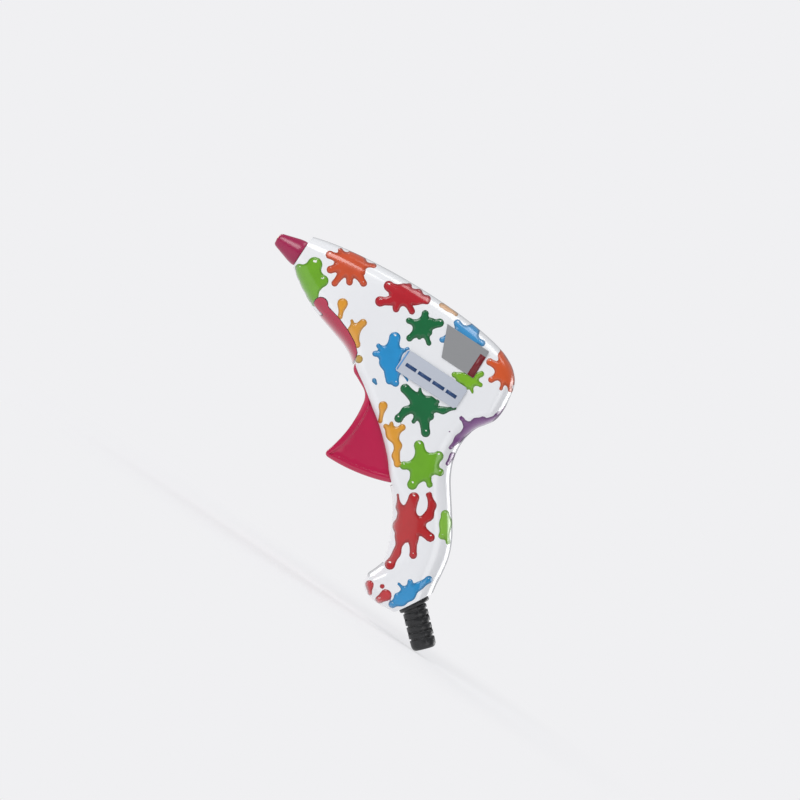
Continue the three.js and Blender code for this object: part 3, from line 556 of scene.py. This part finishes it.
def moulded_bump(tree, grain_mm, height_mm):
    """The faint ripple that a polished mould leaves on plastic, as a normal. A grain that is too fine to show
    is drawn at 0.4 mm or coarser."""
    position = add_node(tree, "TexCoord").outputs["Object"]
    ripple = add_node(tree, "TexNoise", {"Vector": position, "Scale": 1 / (grain_mm * MM), "Detail": 3})
    rise = {"Height": ripple.outputs["Fac"], "Distance": height_mm * MM, "Strength": 0.6}
    return add_node(tree, "Bump", rise)


def moulded_plastic(name, colour, roughness=0.22, grain_mm=1.6, height_mm=0.03, coat=0.3, shade=0.94):
    """ABS from a polished mould: glossy, with a faint ripple and a slight change of tone where it cooled."""
    material, tree, output = new_material(name)
    position = add_node(tree, "TexCoord").outputs["Object"]
    cloud = add_node(tree, "TexNoise", {"Vector": position, "Scale": 1 / (CLOUD_MM * MM), "Detail": 2})
    base = linear(colour)
    darker = [c * shade for c in base[:3]] + [1]
    tone = add_node(tree, "Mix", {0: cloud.outputs["Fac"], 6: darker, 7: base}, data_type="RGBA")
    polish = add_node(
        tree,
        "MapRange",
        {"Value": cloud.outputs["Fac"], "To Min": roughness * 0.85, "To Max": roughness * 1.2},
    )
    surface = add_node(
        tree,
        "BsdfPrincipled",
        {
            "Base Color": tone.outputs[2],
            "Roughness": polish.outputs[0],
            "IOR": 1.53,
            "Coat Weight": coat,
            "Coat Roughness": 0.08,
            "Normal": moulded_bump(tree, grain_mm, height_mm).outputs[0],
        },
    )
    tree.links.new(surface.outputs[0], output.inputs["Surface"])
    return material


def printed_plastic():
    """The white ABS with the splashes printed on it under a clear gloss, each a little raised. The inks carry
    painted shade that darkens them towards their edges, and painted white highlights near their finger tips."""
    material, tree, output = new_material("printed_white_abs")
    depth = add_node(tree, "Attribute", attribute_name="splash_depth").outputs["Fac"]
    painted_highlight = add_node(tree, "Attribute", attribute_name="painted_highlight_depth").outputs["Fac"]
    ink = add_node(tree, "Attribute", attribute_name="splash_colour").outputs["Color"]
    position = add_node(tree, "TexCoord").outputs["Object"]
    broad = {"Vector": position, "Scale": 1 / (CLOUD_MM * MM), "Detail": 2}
    cloud = add_node(tree, "TexNoise", broad).outputs["Fac"]
    blotchy = {"Vector": position, "Scale": 1 / (INK_BLOTCH_MM * MM), "Detail": 4}
    mottle = add_node(tree, "TexNoise", blotchy).outputs["Fac"]
    # Painted shade: each ink darkens towards the splash's edge, down to 0.66 of its colour.
    ranged = {"Value": depth, "From Min": 0.0, "From Max": 0.9, "To Min": 0.66, "To Max": 1.0}
    rim = add_node(tree, "MapRange", ranged, interpolation_type="SMOOTHSTEP").outputs[0]
    wash = add_node(tree, "MapRange", {"Value": mottle, "To Min": 0.9, "To Max": 1.1}).outputs[0]
    strength = add_node(tree, "Math", {0: rim, 1: wash}, operation="MULTIPLY").outputs[0]
    inked = add_node(tree, "VectorMath", {0: ink, "Scale": strength}, operation="SCALE").outputs[0]
    # Painted highlight: the ink turns nearly white in the small spots near the finger tips.
    painted_highlight_spot = add_node(tree, "MapRange", {"Value": painted_highlight, "From Min": -0.06, "From Max": 0.1}).outputs[0]
    ink_under_painted_highlight = add_node(tree, "Mix", {0: painted_highlight_spot, 6: inked, 7: linear("#fbfbf6")}, data_type="RGBA").outputs[2]
    white = add_node(
        tree, "Mix", {0: cloud, 6: linear("#f1f2f5"), 7: linear("#f8f9fb")}, data_type="RGBA"
    ).outputs[2]
    covered = add_node(tree, "MapRange", {"Value": depth, "From Min": -0.05, "From Max": 0.06}).outputs[0]
    colour = add_node(tree, "Mix", {0: covered, 6: white, 7: ink_under_painted_highlight}, data_type="RGBA").outputs[2]
    ripple = moulded_bump(tree, 1.8, 0.02).outputs[0]
    ranged = {"Value": depth, "From Min": -0.05, "From Max": 1.0}
    dome = add_node(tree, "MapRange", ranged, interpolation_type="SMOOTHSTEP").outputs[0]
    rise = {"Height": dome, "Distance": INK_HEIGHT_MM * MM, "Strength": 1.0, "Normal": ripple}
    raised = add_node(tree, "Bump", rise)
    surface = add_node(
        tree,
        "BsdfPrincipled",
        {
            "Base Color": colour,
            "Roughness": 0.2,
            "IOR": 1.53,
            "Coat Weight": 0.5,
            "Coat Roughness": 0.06,
            "Normal": raised.outputs[0],
        },
    )
    tree.links.new(surface.outputs[0], output.inputs["Surface"])
    return material


printed_white = printed_plastic()
bare_white = moulded_plastic("bare_white_abs", "#eceef2")  # the same white where nothing is printed
OUTLINE_FINE = closed_curve([(x, edge, z) for x, z, edge in OUTLINE], 620)
OUTLINE_COARSE = closed_curve([(x, edge, z) for x, z, edge in OUTLINE], 200)


def whole_form(inset, stations=OUTLINE_COARSE, rings=8, spacing=4):
    """The housing's form on both sides of the middle plane, moved in by an inset."""
    levels = edge_levels(rings, inset)
    return edged_form("tool", stations, mirrored(levels)[:0:-1] + levels, half_width, spacing)


TRIGGER_SLOT = [(45.4, -22.9), (56, -26.6), (66, -32.6), (76, -41), (84.5, -49.5), (91.3, -58.9),
                (88.2, -62.2), (80, -75), (45.4, -48)]  # fmt: skip
TRIGGER_SLOT_HALF = 10.4
STAND_SHELL = 2  # thickness of the stand
STAND_GAP = 0.35  # between the stand and its recess
STAND_EAR = 3  # radius of the stand's ears about its pivot
STAND_FRONT = 4.7  # radius of the stand's front edge about its pivot, so that it swings clear
STAND_REGION = [(24.3, -12.9), (30, -14.4), (36, -16.7), (41, -19.3), (44.2, -22.2), (45, -25), (45, -32),
                (20.6, -32), *circle(STAND_PIVOT, STAND_FRONT, 9, -74, -4)]  # fmt: skip
STAND_NECK_ROOM = [(19.1, -10.4), (22.35, -12.05), (24.85, -13.15), (24.5, -17.4), (21, -16.2)]


def stand_region(grown):
    """The stand's side view behind its pivot, grown outward."""
    wide = []
    for x, z in STAND_REGION:
        away = Vector((x - 34, z + 21)).normalized() * grown
        wide.append((x + away.x, z + away.y))
    return prism(wide, -16, 16)


def openings(side):
    """Tools for everything that is cut through the skin on one side."""
    beside = sorted((side * 7, side * 16))
    sweep = [STAND_PIVOT, *circle(STAND_PIVOT, 5.9, 24, -80, 4)]
    tools = [
        # the flat nose and the relief's flat seat
        prism(box_outline(-20, NOSE_FACE, -20, 20), -20, 20),
        prism(at_seat(box_outline(0, 20, -20, 20)), -20, 20),
        # holes for the nozzle, the strain relief and the glue stick
        bore(-5, 6, 5.1),
        bore(-4, 2, 4.9, start=SEAT_POINT, turn=SEAT_TURN),
        bore(104.5, 115, 5.7),
        prism(TRIGGER_SLOT, -TRIGGER_SLOT_HALF, TRIGGER_SLOT_HALF),
        # the stand's recess, and room for its ears and their necks
        carve(stand_region(STAND_GAP), "DIFFERENCE", whole_form(STAND_SHELL + STAND_GAP)),
        rod(STAND_PIVOT, STAND_EAR + STAND_GAP, *beside),
        prism(sweep, *beside),
        prism(STAND_NECK_ROOM, *beside),
    ]
    if side > 0:
        tools += [rod(centre, SCREW_WELL, 6.4, 16) for centre in SCREWS]
    return tools


def housing_half(name, side):
    """A smooth printed skin joined to the ribbed inside of the CAD half."""
    skin = edged_form(name + "_skin", OUTLINE_FINE, half_levels(side), half_width, 0.75)
    surface = BVHTree.FromPolygons(
        [v.co.copy() for v in skin.data.vertices], [tuple(p.vertices) for p in skin.data.polygons]
    )
    carve(skin, "DIFFERENCE", whole_form(SKIN))
    inside = cad_copy(name)
    carve(inside, "INTERSECT", whole_form(SKIN / 2))
    carve(skin, "DIFFERENCE", *openings(side))
    carve(skin, "UNION", inside)
    mesh = skin.data
    mesh.materials.clear()
    mesh.materials.append(printed_white)
    mesh.materials.append(bare_white)
    print_splashes(skin)
    near = 0.06 * MM
    for face in mesh.polygons:
        normal, gap = surface.find_nearest(face.center)[1::2]
        printed = gap < near and normal.dot(face.normal) > 0.8 and abs(face.center.y - AXIS.y) > near
        face.material_index = 0 if printed else 1
        face.use_smooth = printed
    mesh.set_sharp_from_angle(angle=math.radians(24))
    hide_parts(name)
    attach(skin, "root")


for node_name, side in (("left_housing", -1), ("right_housing", 1)):
    housing_half(node_name, side)

# ---------------------------------------------------------------- name plate and rating label
# A raised pale name plate and a printed foil label, both stuck to the left side. Their print is left as plain
# bars: dark blue ones on the plate, and one dark red one along the end of the label.
PLATE = [(62.6, -19.4), (92, -19.4), (93, -18.4), (93, -9.8), (92, -8.8), (62.2, -8.8), (61.6, -9.6),
         (61.9, -18.8)]  # fmt: skip
LABEL = [(70, 9.6), (75.8, -3.9), (92.2, -3.9), (91.6, 9.6)]
STUCK_BACK = -14.05
PLATE_FACE = -14.9
LABEL_FACE = -14.35
NAME_BARS = [(64.6, 69.9), (71, 77.4), (78.5, 84.3), (85.4, 90.6)]


def stuck_plate(name, outline, y0, y1, edge, material):
    """A flat plate on the left side from y0 out to y1, with a rounded rim."""
    line = np.array([(x, edge, z) for x, z in outline + outline[:1]], float)
    levels = [(0, 0, 0, y0), (0, 0, 0, y1 + edge)]
    for angle in np.radians((25, 50, 75, 90)):
        levels.append((1 - math.cos(angle), 0, 0, y1 + edge - edge * math.sin(angle)))
    return edged_form(name, spaced(line[:-1], 180)[::-1], levels, half_width, 6, material)


def stuck_print(name, outlines, y1, material, node_name):
    """Thin bars of ink on a plate's face."""
    first, *others = (prism(outline, y1 - 0.03, y1 + 0.1) for outline in outlines)
    ink = carve(first, "UNION", *others)
    ink.name = name
    ink.data.materials.clear()
    ink.data.materials.append(material)
    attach(ink, "root")
    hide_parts(node_name)


# Printed foil has a soft sheen and lies almost flat. Ink on it is duller than the foil.
pale_foil = moulded_plastic("pale_blue_foil", "#c6ccd8", roughness=0.3, grain_mm=4, height_mm=0.04, coat=0.4)
grey_foil = moulded_plastic("grey_foil", "#969799", roughness=0.38, grain_mm=3, height_mm=0.03, coat=0.2)
blue_ink = moulded_plastic("blue_ink", "#1d4477", roughness=0.4, coat=0)
red_ink = moulded_plastic("dark_red_ink", "#7a1420", roughness=0.4, coat=0)
sky_ink = moulded_plastic("sky_blue_ink", "#5f9fdc", roughness=0.4, coat=0)

name_plate = stuck_plate("name_plate_foil", PLATE, STUCK_BACK, PLATE_FACE, 0.3, pale_foil)
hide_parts("name_plate")
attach(name_plate, "root")
bars = [box_outline(x0, x1, -15.6, -14) for x0, x1 in NAME_BARS]
stuck_print("name_bars", bars, PLATE_FACE, blue_ink, "name_plate")
end_stripe = [(62.2, -18.6), (62.9, -18.9), (62.9, -9.3), (62.3, -9.4)]
stuck_print("name_plate_stripe", [end_stripe], PLATE_FACE, sky_ink, "name_plate")

rating_label = stuck_plate("rating_label_foil", LABEL, STUCK_BACK, LABEL_FACE, 0.12, grey_foil)
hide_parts("rating_label")
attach(rating_label, "root")
red_bar = [(89, -3.8), (92.1, -3.8), (91.75, 6.7), (89, 6.7)]
stuck_print("rating_bar", [red_bar], LABEL_FACE, red_ink, "rating_label")

# ---------------------------------------------------------------- housing screws
# Five self-tapping pan-head screws of zinc-plated steel, sunk in wells on the right side. The heads are
# pressed with a cross recess, and the thread is rolled.


def turned_metal(name, colour, roughness=0.3, grain_mm=0.6, height_mm=0.01):
    """A metal with the fine, uneven sheen that working or plating leaves on it."""
    material, tree, output = new_material(name)
    position = add_node(tree, "TexCoord").outputs["Object"]
    blotchy = {"Vector": position, "Scale": 1 / (3 * MM), "Detail": 4}
    patches = add_node(tree, "TexNoise", blotchy).outputs["Fac"]
    base = linear(colour)
    dull = [c * 0.78 for c in base[:3]] + [1]
    tone = add_node(tree, "Mix", {0: patches, 6: dull, 7: base}, data_type="RGBA")
    ranged = {"Value": patches, "To Min": roughness * 0.75, "To Max": roughness * 1.3}
    polish = add_node(tree, "MapRange", ranged)
    surface = add_node(
        tree,
        "BsdfPrincipled",
        {
            "Base Color": tone.outputs[2],
            "Metallic": 1.0,
            "Roughness": polish.outputs[0],
            "Normal": moulded_bump(tree, grain_mm, height_mm).outputs[0],
        },
    )
    tree.links.new(surface.outputs[0], output.inputs["Surface"])
    return material


zinc_steel = turned_metal("zinc_plated_steel", "#c6c8c9", roughness=0.32)  # pale, with a soft even sheen


def surfaced(piece, material, corner):
    """Gives a carved piece its material, and keeps the corners that are sharper than an angle."""
    piece.data.materials.clear()
    piece.data.materials.append(material)
    piece.data.shade_smooth()
    piece.data.set_sharp_from_angle(angle=math.radians(corner))


def screw(name, centre, tip, length, shank, head):
    """A screw that points to the left side, with its head away from it."""
    profile = [(0, 0), (1.3, shank * 0.82)]
    core = shank * 0.8
    for thread in range(int(length - 2.4)):
        profile += [(1.5 + thread, shank), (1.7 + thread, shank), (2.1 + thread, core), (2.3 + thread, core)]
    profile += [(length - 0.4, shank), (length, shank), (length, head - 0.1), (length + 0.12, head)]
    profile += [(length + 0.75, head), (length + 1.1, head * 0.9), (length + 1.35, head * 0.7)]
    profile += [(length + 1.48, head * 0.35), (length + 1.5, 0)]
    x, z = centre
    made = turned(name, profile, 40, (x, tip, z), Matrix.Rotation(math.pi / 2, 3, "Z"))
    reach, slit, top, tilt = head * 0.6, head * 0.13, tip + length, 0.7071
    for outline in (box_outline(-reach, reach, -slit, slit), box_outline(-slit, slit, -reach, reach)):
        spun = [(x + (a - b) * tilt, z + (a + b) * tilt) for a, b in outline]
        carve(made, "DIFFERENCE", prism(spun, top + 0.5, top + 3))
    surfaced(made, zinc_steel, 35)
    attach(made, "root")
    return made


for i, centre in enumerate(SCREWS, 1):
    housing_screw = screw(f"housing_screw_{i}_fine", centre, -6.8, 13.4, 1.15, 2.3)
    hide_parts(f"housing_screw_{i}")

# ---------------------------------------------------------------- nozzle and its cover
# A turned brass nozzle with a hexagon, a steel check ball and its spring inside, and a magenta silicone cover
# over the cone.


def round_piece(name, profile, sides, material, body):
    """A piece turned about the barrel's axis, with sharp corners kept."""
    made = turned(name, profile, sides)
    surfaced(made, material, 40)
    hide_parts(name.removesuffix("_fine"))
    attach(made, body)
    return made


def coil(name, x0, x1, radius, turns, wire):
    """A compression spring about the barrel's axis, anchored at x0, with a flat turn at each end."""
    points, faces = [], []
    around, steps = 10, int(turns * 40)
    for step in range(steps + 1):
        t = step / steps
        lead = min(max((t * turns - 0.7) / (turns - 1.4), 0), 1)
        flat = min(t * turns, 0.7) + max(t * turns - turns + 0.7, 0)
        x = x0 + flat * wire * 2.1 + (x1 - x0 - 1.4 * wire * 2.1) * lead
        angle = math.tau * turns * t
        for i in range(around):
            b = math.tau * i / around
            out = radius + wire * math.cos(b)
            points.append(place(x + wire * math.sin(b), out * math.cos(angle), out * math.sin(angle)))
    for step in range(steps):
        for i in range(around):
            a, b = step * around + i, step * around + (i + 1) % around
            faces.append((a, b, b + around, a + around))
    faces += [tuple(range(around)), tuple(range(steps * around, (steps + 1) * around))]
    made = new_object(name + "_wire", points, faces, spring_steel)
    outward(made)
    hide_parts(name)
    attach(made, "root")
    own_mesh(made)


# Turned brass and drawn spring wire are bright, and silicone rubber has a deep colour with a satin gloss.
brass = turned_metal("turned_brass", "#c79a45", roughness=0.24)
spring_steel = turned_metal("spring_steel", "#a9acb0", roughness=0.28)
silicone = moulded_plastic("magenta_silicone", "#a50a4c", 0.34, grain_mm=1.1, height_mm=0.04, coat=0.25)

passage = [(-13, 0), (-13, 0.7), (-10.5, 0.7), (-9, 1.4), (-3, 1.4), (-3, 2.5), (12, 2.5), (12, 0)]
outer = [(-12.3, 0), (-12.3, 0.95), (-12.15, 1.2), (-10.8, 1.7), (-1, 4.1), (1.1, 4.1), (1.1, 4.02), (4.8, 4)]
outer += [(10.5, 4), (10.8, 3.7), (10.8, 0)]
nozzle = turned("nozzle_fine", outer, 72)
hexagon = [(1.1, 0), (1.1, 4.5), (1.3, 4.7), (4.5, 4.7), (4.7, 4.5), (4.7, 0)]
carve(nozzle, "UNION", turned("tool", hexagon, 6))
carve(nozzle, "DIFFERENCE", turned("tool", passage, 48))
surfaced(nozzle, brass, 30)
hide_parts("nozzle")
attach(nozzle, "root")

cover = [(-11.9, 1.75), (-12.1, 1.9), (-12.1, 2.25), (-11.85, 2.65), (-11.2, 3.05), (-10.3, 3.36)]
cover += [(-7.5, 4.2), (-3.4, 5.45), (-1.6, 5.8), (-0.9, 5.86), (-0.2, 5.8), (0.1, 5.6), (0.1, 4.5)]
cover += [(-1.2, 4.45), (-10.6, 2.1)]
round_piece("nozzle_cover_fine", cover, 96, silicone, "root")
ball = [(9.75 - 2 * math.cos(a), 2 * math.sin(a)) for a in np.linspace(0, math.pi, 25)]
ball[0], ball[-1] = (7.75, 0), (11.75, 0)
round_piece("check_ball_fine", ball, 48, zinc_steel, "ball")
coil("valve_spring", -2.5, 7, 1.55, 5, 0.3)

# ---------------------------------------------------------------- heater
# Inside the barrel: a cast aluminium melt chamber with a ceramic heater pill between two copper electrodes,
# wrapped in polyimide film, and a shield and front ring of glass fibre board.


def finish(material, *names):
    """Gives CAD nodes their material."""
    for name in names:
        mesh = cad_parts[name].data
        mesh.materials.clear()
        mesh.materials.append(material)


# Cast aluminium, fired ceramic and glass fibre board are matt. Sheet copper and polyimide film shine.
cast_aluminium = turned_metal("cast_aluminium", "#b4b7ba", roughness=0.48, grain_mm=0.5, height_mm=0.05)
copper = turned_metal("copper_sheet", "#c07a56", roughness=0.33)
ceramic = moulded_plastic("ptc_ceramic", "#4a4b4e", roughness=0.7, grain_mm=0.4, height_mm=0.03, coat=0)
polyimide = moulded_plastic("polyimide_film", "#a8651c", 0.25, grain_mm=2.5, height_mm=0.06, coat=0.2)
fibre_board = moulded_plastic("glass_fibre_board", "#cbbf9f", 0.75, grain_mm=0.5, height_mm=0.06, coat=0)
finish(cast_aluminium, "melt_chamber")
finish(copper, "upper_electrode", "lower_electrode")
finish(ceramic, "heater_pill")
finish(polyimide, "insulation_film")
finish(fibre_board, "heat_shield", "front_ring")

# ---------------------------------------------------------------- inlet and stick guide
# A white silicone sleeve takes the stick into the chamber and is held by a steel spring clamp. The guide at
# the rear is moulded in the housing's white ABS.
white_silicone = moulded_plastic("white_silicone", "#dcdcd6", 0.5, grain_mm=0.9, height_mm=0.03, coat=0)
finish(white_silicone, "inlet_sleeve")
finish(spring_steel, "sleeve_clamp")
finish(bare_white, "stick_guide")

# ---------------------------------------------------------------- trigger
# A hollow moulding in glossy crimson ABS. Each side has a raised rim along the front and the foot, and a
# forked arm goes up inside the housing to the feed's link.
TRIGGER_HALF = 9.9
RIM = 1.7  # radius of the rim's outer edge
TOE = (57.3, -66)
TOE_RIM = 0.9  # and at the toe, where it is tighter


def bent(points, count=14):
    """Points along the Bezier curve of two to four control points, without the last one."""
    line = []
    for t in np.linspace(0, 1, count, endpoint=False):
        level = [np.array(p, float) for p in points]
        while len(level) > 1:
            level = [a + (b - a) * t for a, b in zip(level, level[1:])]
        line.append(level[0])
    return line


def trigger_line():
    """The trigger's side view, clockwise: x, edge radius and z."""
    hub = circle(TRIGGER_PIVOT, 4.5, 16, 180, 255.6)
    line = [np.array(p) for p in hub[:-1]] + bent([hub[-1], (54.2, -33.2)])
    line += bent([(54.2, -33.2), (57.9, -35), (58.5, -39.5)])
    line += bent([(58.5, -39.5), (60, -48), (59.4, -56), (56.8, -64.6)], 40)
    line += bent([(56.8, -64.6), (56.3, -67), (58.8, -67)])
    line += bent([(58.8, -67), (69, -66.9), (79, -64.6), (87.2, -61.3)], 40)
    line += bent([(87.2, -61.3), (90, -57.8)])
    line += bent([(90, -57.8), (76, -41), (60.4, -29.8)], 40)
    line += bent([(60.4, -29.8), (52.5, -22.3)]) + bent([(52.5, -22.3), (46, -26.5)])
    edges = [min(RIM, TOE_RIM + 0.12 * math.dist(p, TOE)) for p in line]
    return spaced(np.array([(x, edge, z) for (x, z), edge in zip(line, edges)])[::-1], 300)


def trigger_levels():
    """Levels from one side face to the other: a rounded edge, a flat rim, and a step down to the panel."""
    levels = []
    for angle in np.radians((0, 15, 30, 45, 60, 75, 90)):
        levels.append((1 - math.cos(angle), 0, 1, RIM * math.sin(angle) - RIM))
    for drawn, drop in ((1.45, 0), (1.55, 0.08), (1.65, 0.25), (1.75, 0.42), (1.85, 0.5)):
        levels.append((drawn, 0, 1, -drop))
    return mirrored(levels)[::-1] + levels


def trigger_half(x):
    """Half the trigger's width, which is the same all along."""
    return x * 0 + TRIGGER_HALF


def trigger_piece():
    """The moulding, hollowed, with the CAD node's arm."""
    made = edged_form("trigger_moulding", trigger_line(), trigger_levels(), trigger_half, 1.6)
    hollow = [(61.2, -37), (61.6, -48), (60.9, -56), (59.4, -63.6), (61, -64.6), (72, -63.8), (80, -62),
              (86, -59.4), (97, -50), (72, -25), (64, -31.6)]  # fmt: skip
    carve(made, "DIFFERENCE", prism(hollow, -7.7, 7.7), rod(TRIGGER_PIVOT, 1.65, -12, 12))
    arm = carve(cad_copy("trigger"), "INTERSECT", prism(box_outline(40, 62, -26, 0), -4.7, 4.7))
    carve(made, "UNION", arm)
    surfaced(made, crimson, 40)
    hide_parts("trigger")
    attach(made, "trigger")


crimson = moulded_plastic("crimson_abs", "#c8004a", roughness=0.2, coat=0.5, shade=0.8)
trigger_piece()

# ---------------------------------------------------------------- feed
# A steel link pulls a gripper of black nylon, which bites the stick and carries the nylon carriage forward
# against a return spring. The pins are ground steel.
nylon = moulded_plastic("black_nylon", "#1d1e20", roughness=0.45, grain_mm=0.8, height_mm=0.03, coat=0)
finish(nylon, "feed_carriage", "stick_gripper")
finish(zinc_steel, "pull_link", "trigger_pin", "link_pin", "gripper_pin")
coil("return_spring", 59.4, 78.3, 6.5, 5.5, 0.45)

# ---------------------------------------------------------------- stand
# A folding stand moulded in pink ABS. It closes the lower front edge with the housing's own curve, and turns
# on two stub pins at its front.


def stand_piece():
    """A smooth skin on the stand's outer face, joined to the inside of the CAD node."""
    skin = whole_form(0, OUTLINE_FINE, 12, 1.5)
    neck = [(19.1, -10.7), (22.2, -12.3), (24.6, -13.4), (24.2, -17.2), (21, -16.2)]
    outside = stand_region(0)
    for y0, y1 in ((-16, -7.3), (7.3, 16)):
        carve(outside, "UNION", prism(neck, y0, y1), rod(STAND_PIVOT, STAND_EAR, y0, y1))
    carve(skin, "INTERSECT", outside)
    carve(skin, "DIFFERENCE", whole_form(SKIN))
    carve(skin, "UNION", carve(cad_copy("stand"), "INTERSECT", whole_form(SKIN / 2)))
    skin.name = "stand_moulding"
    surfaced(skin, pink, 24)
    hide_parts("stand")
    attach(skin, "stand")


pink = moulded_plastic("pink_abs", "#bd0041", roughness=0.12, coat=1.0, shade=0.86)
stand_piece()

# ---------------------------------------------------------------- strain relief
# Black PVC moulded in one: a flange inside the handle, a collar on its seat, and a sleeve of blocks joined by
# small webs that lets the cord bend. It has a satin gloss with a faint leather grain.
SLEEVE_TURN = Matrix.Rotation(math.radians(42.5), 3, "Y")
SLEEVE_SLOTS = (3.2, 6.2, 9.2, 12.2, 15.2)
CORD_HOLE = 2.9  # radius of the hole for the cord


def web(x0, x1, across, turn_quarter):
    """A bar between two blocks of the sleeve, through its middle."""
    points = []
    for x in (x0, x1):
        for y, z in ((-across, -1.5), (across, -1.5), (across, 1.5), (-across, 1.5)):
            y, z = (z, y) if turn_quarter else (y, z)
            points.append(place(*(Vector(SEAT_POINT) + SLEEVE_TURN @ Vector((x, y, z)))))
    faces = [(0, 1, 2, 3), (4, 5, 6, 7), (0, 1, 5, 4), (1, 2, 6, 5), (2, 3, 7, 6), (3, 0, 4, 7)]
    made = new_object("tool", points, faces)
    outward(made)
    return made


def strain_relief():
    """The flange, collar and sleeve."""
    root = [(-5.2, 0), (-5.2, 5.1), (-5, 5.3), (-3.1, 5.3), (-2.9, 5.1), (-2.9, 4.6), (0.3, 4.6), (0.3, 6.7)]
    root += [(0.5, 6.95), (0.8, 7), (1.5, 7), (1.85, 6.85), (2.1, 6.5), (2.2, 6.2), (2.2, 0)]
    sleeve = [(0.6, 0), (0.6, 4.2), (2, 5.4)]
    for x in SLEEVE_SLOTS:
        slot = ((0, 5.5), (0.15, 5.4), (0.25, 4.85), (0.95, 4.85), (1.05, 5.4), (1.2, 5.5))
        sleeve += [(x + along, radius) for along, radius in slot]
    sleeve += [(18.8, 5.45), (19.6, 5.25), (20.3, 4.85), (20.75, 4.3), (20.9, 3.8), (20.9, 0)]
    made = turned("strain_relief_sleeve", sleeve, 72, SEAT_POINT, SLEEVE_TURN)
    for i, x in enumerate(SLEEVE_SLOTS):
        carve(made, "UNION", web(x - 0.2, x + 1.5, 5.35, i % 2 == 1))
    carve(made, "UNION", turned("tool", root, 72, SEAT_POINT, SEAT_TURN))
    for x0, x1, turn in ((-0.5, 25, SLEEVE_TURN), (-8, 0.5, SEAT_TURN)):
        carve(made, "DIFFERENCE", bore(x0, x1, CORD_HOLE, 48, SEAT_POINT, turn))
    surfaced(made, pvc, 45)
    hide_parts("strain_relief")
    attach(made, "root")


pvc = moulded_plastic("black_pvc", "#1a1b1d", roughness=0.36, grain_mm=0.7, height_mm=0.05, coat=0.1)
strain_relief()

# ---------------------------------------------------------------- cord clamp and wiring
# A black nylon bar on two screws is ready to hold the cord, and two silicone-sheathed leads run from crimps
# in the handle up to the heater's electrodes.
finish(nylon, "cord_clamp", "crimp_1", "crimp_2")
finish(white_silicone, "lead_1", "lead_2")
for i, centre in enumerate(((115.09, -89.08), (110.79, -96.52)), 1):
    clamp_screw = screw(f"clamp_screw_{i}_fine", centre, -5.5, 8.5, 0.75, 1.9)
    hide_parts(f"clamp_screw_{i}")
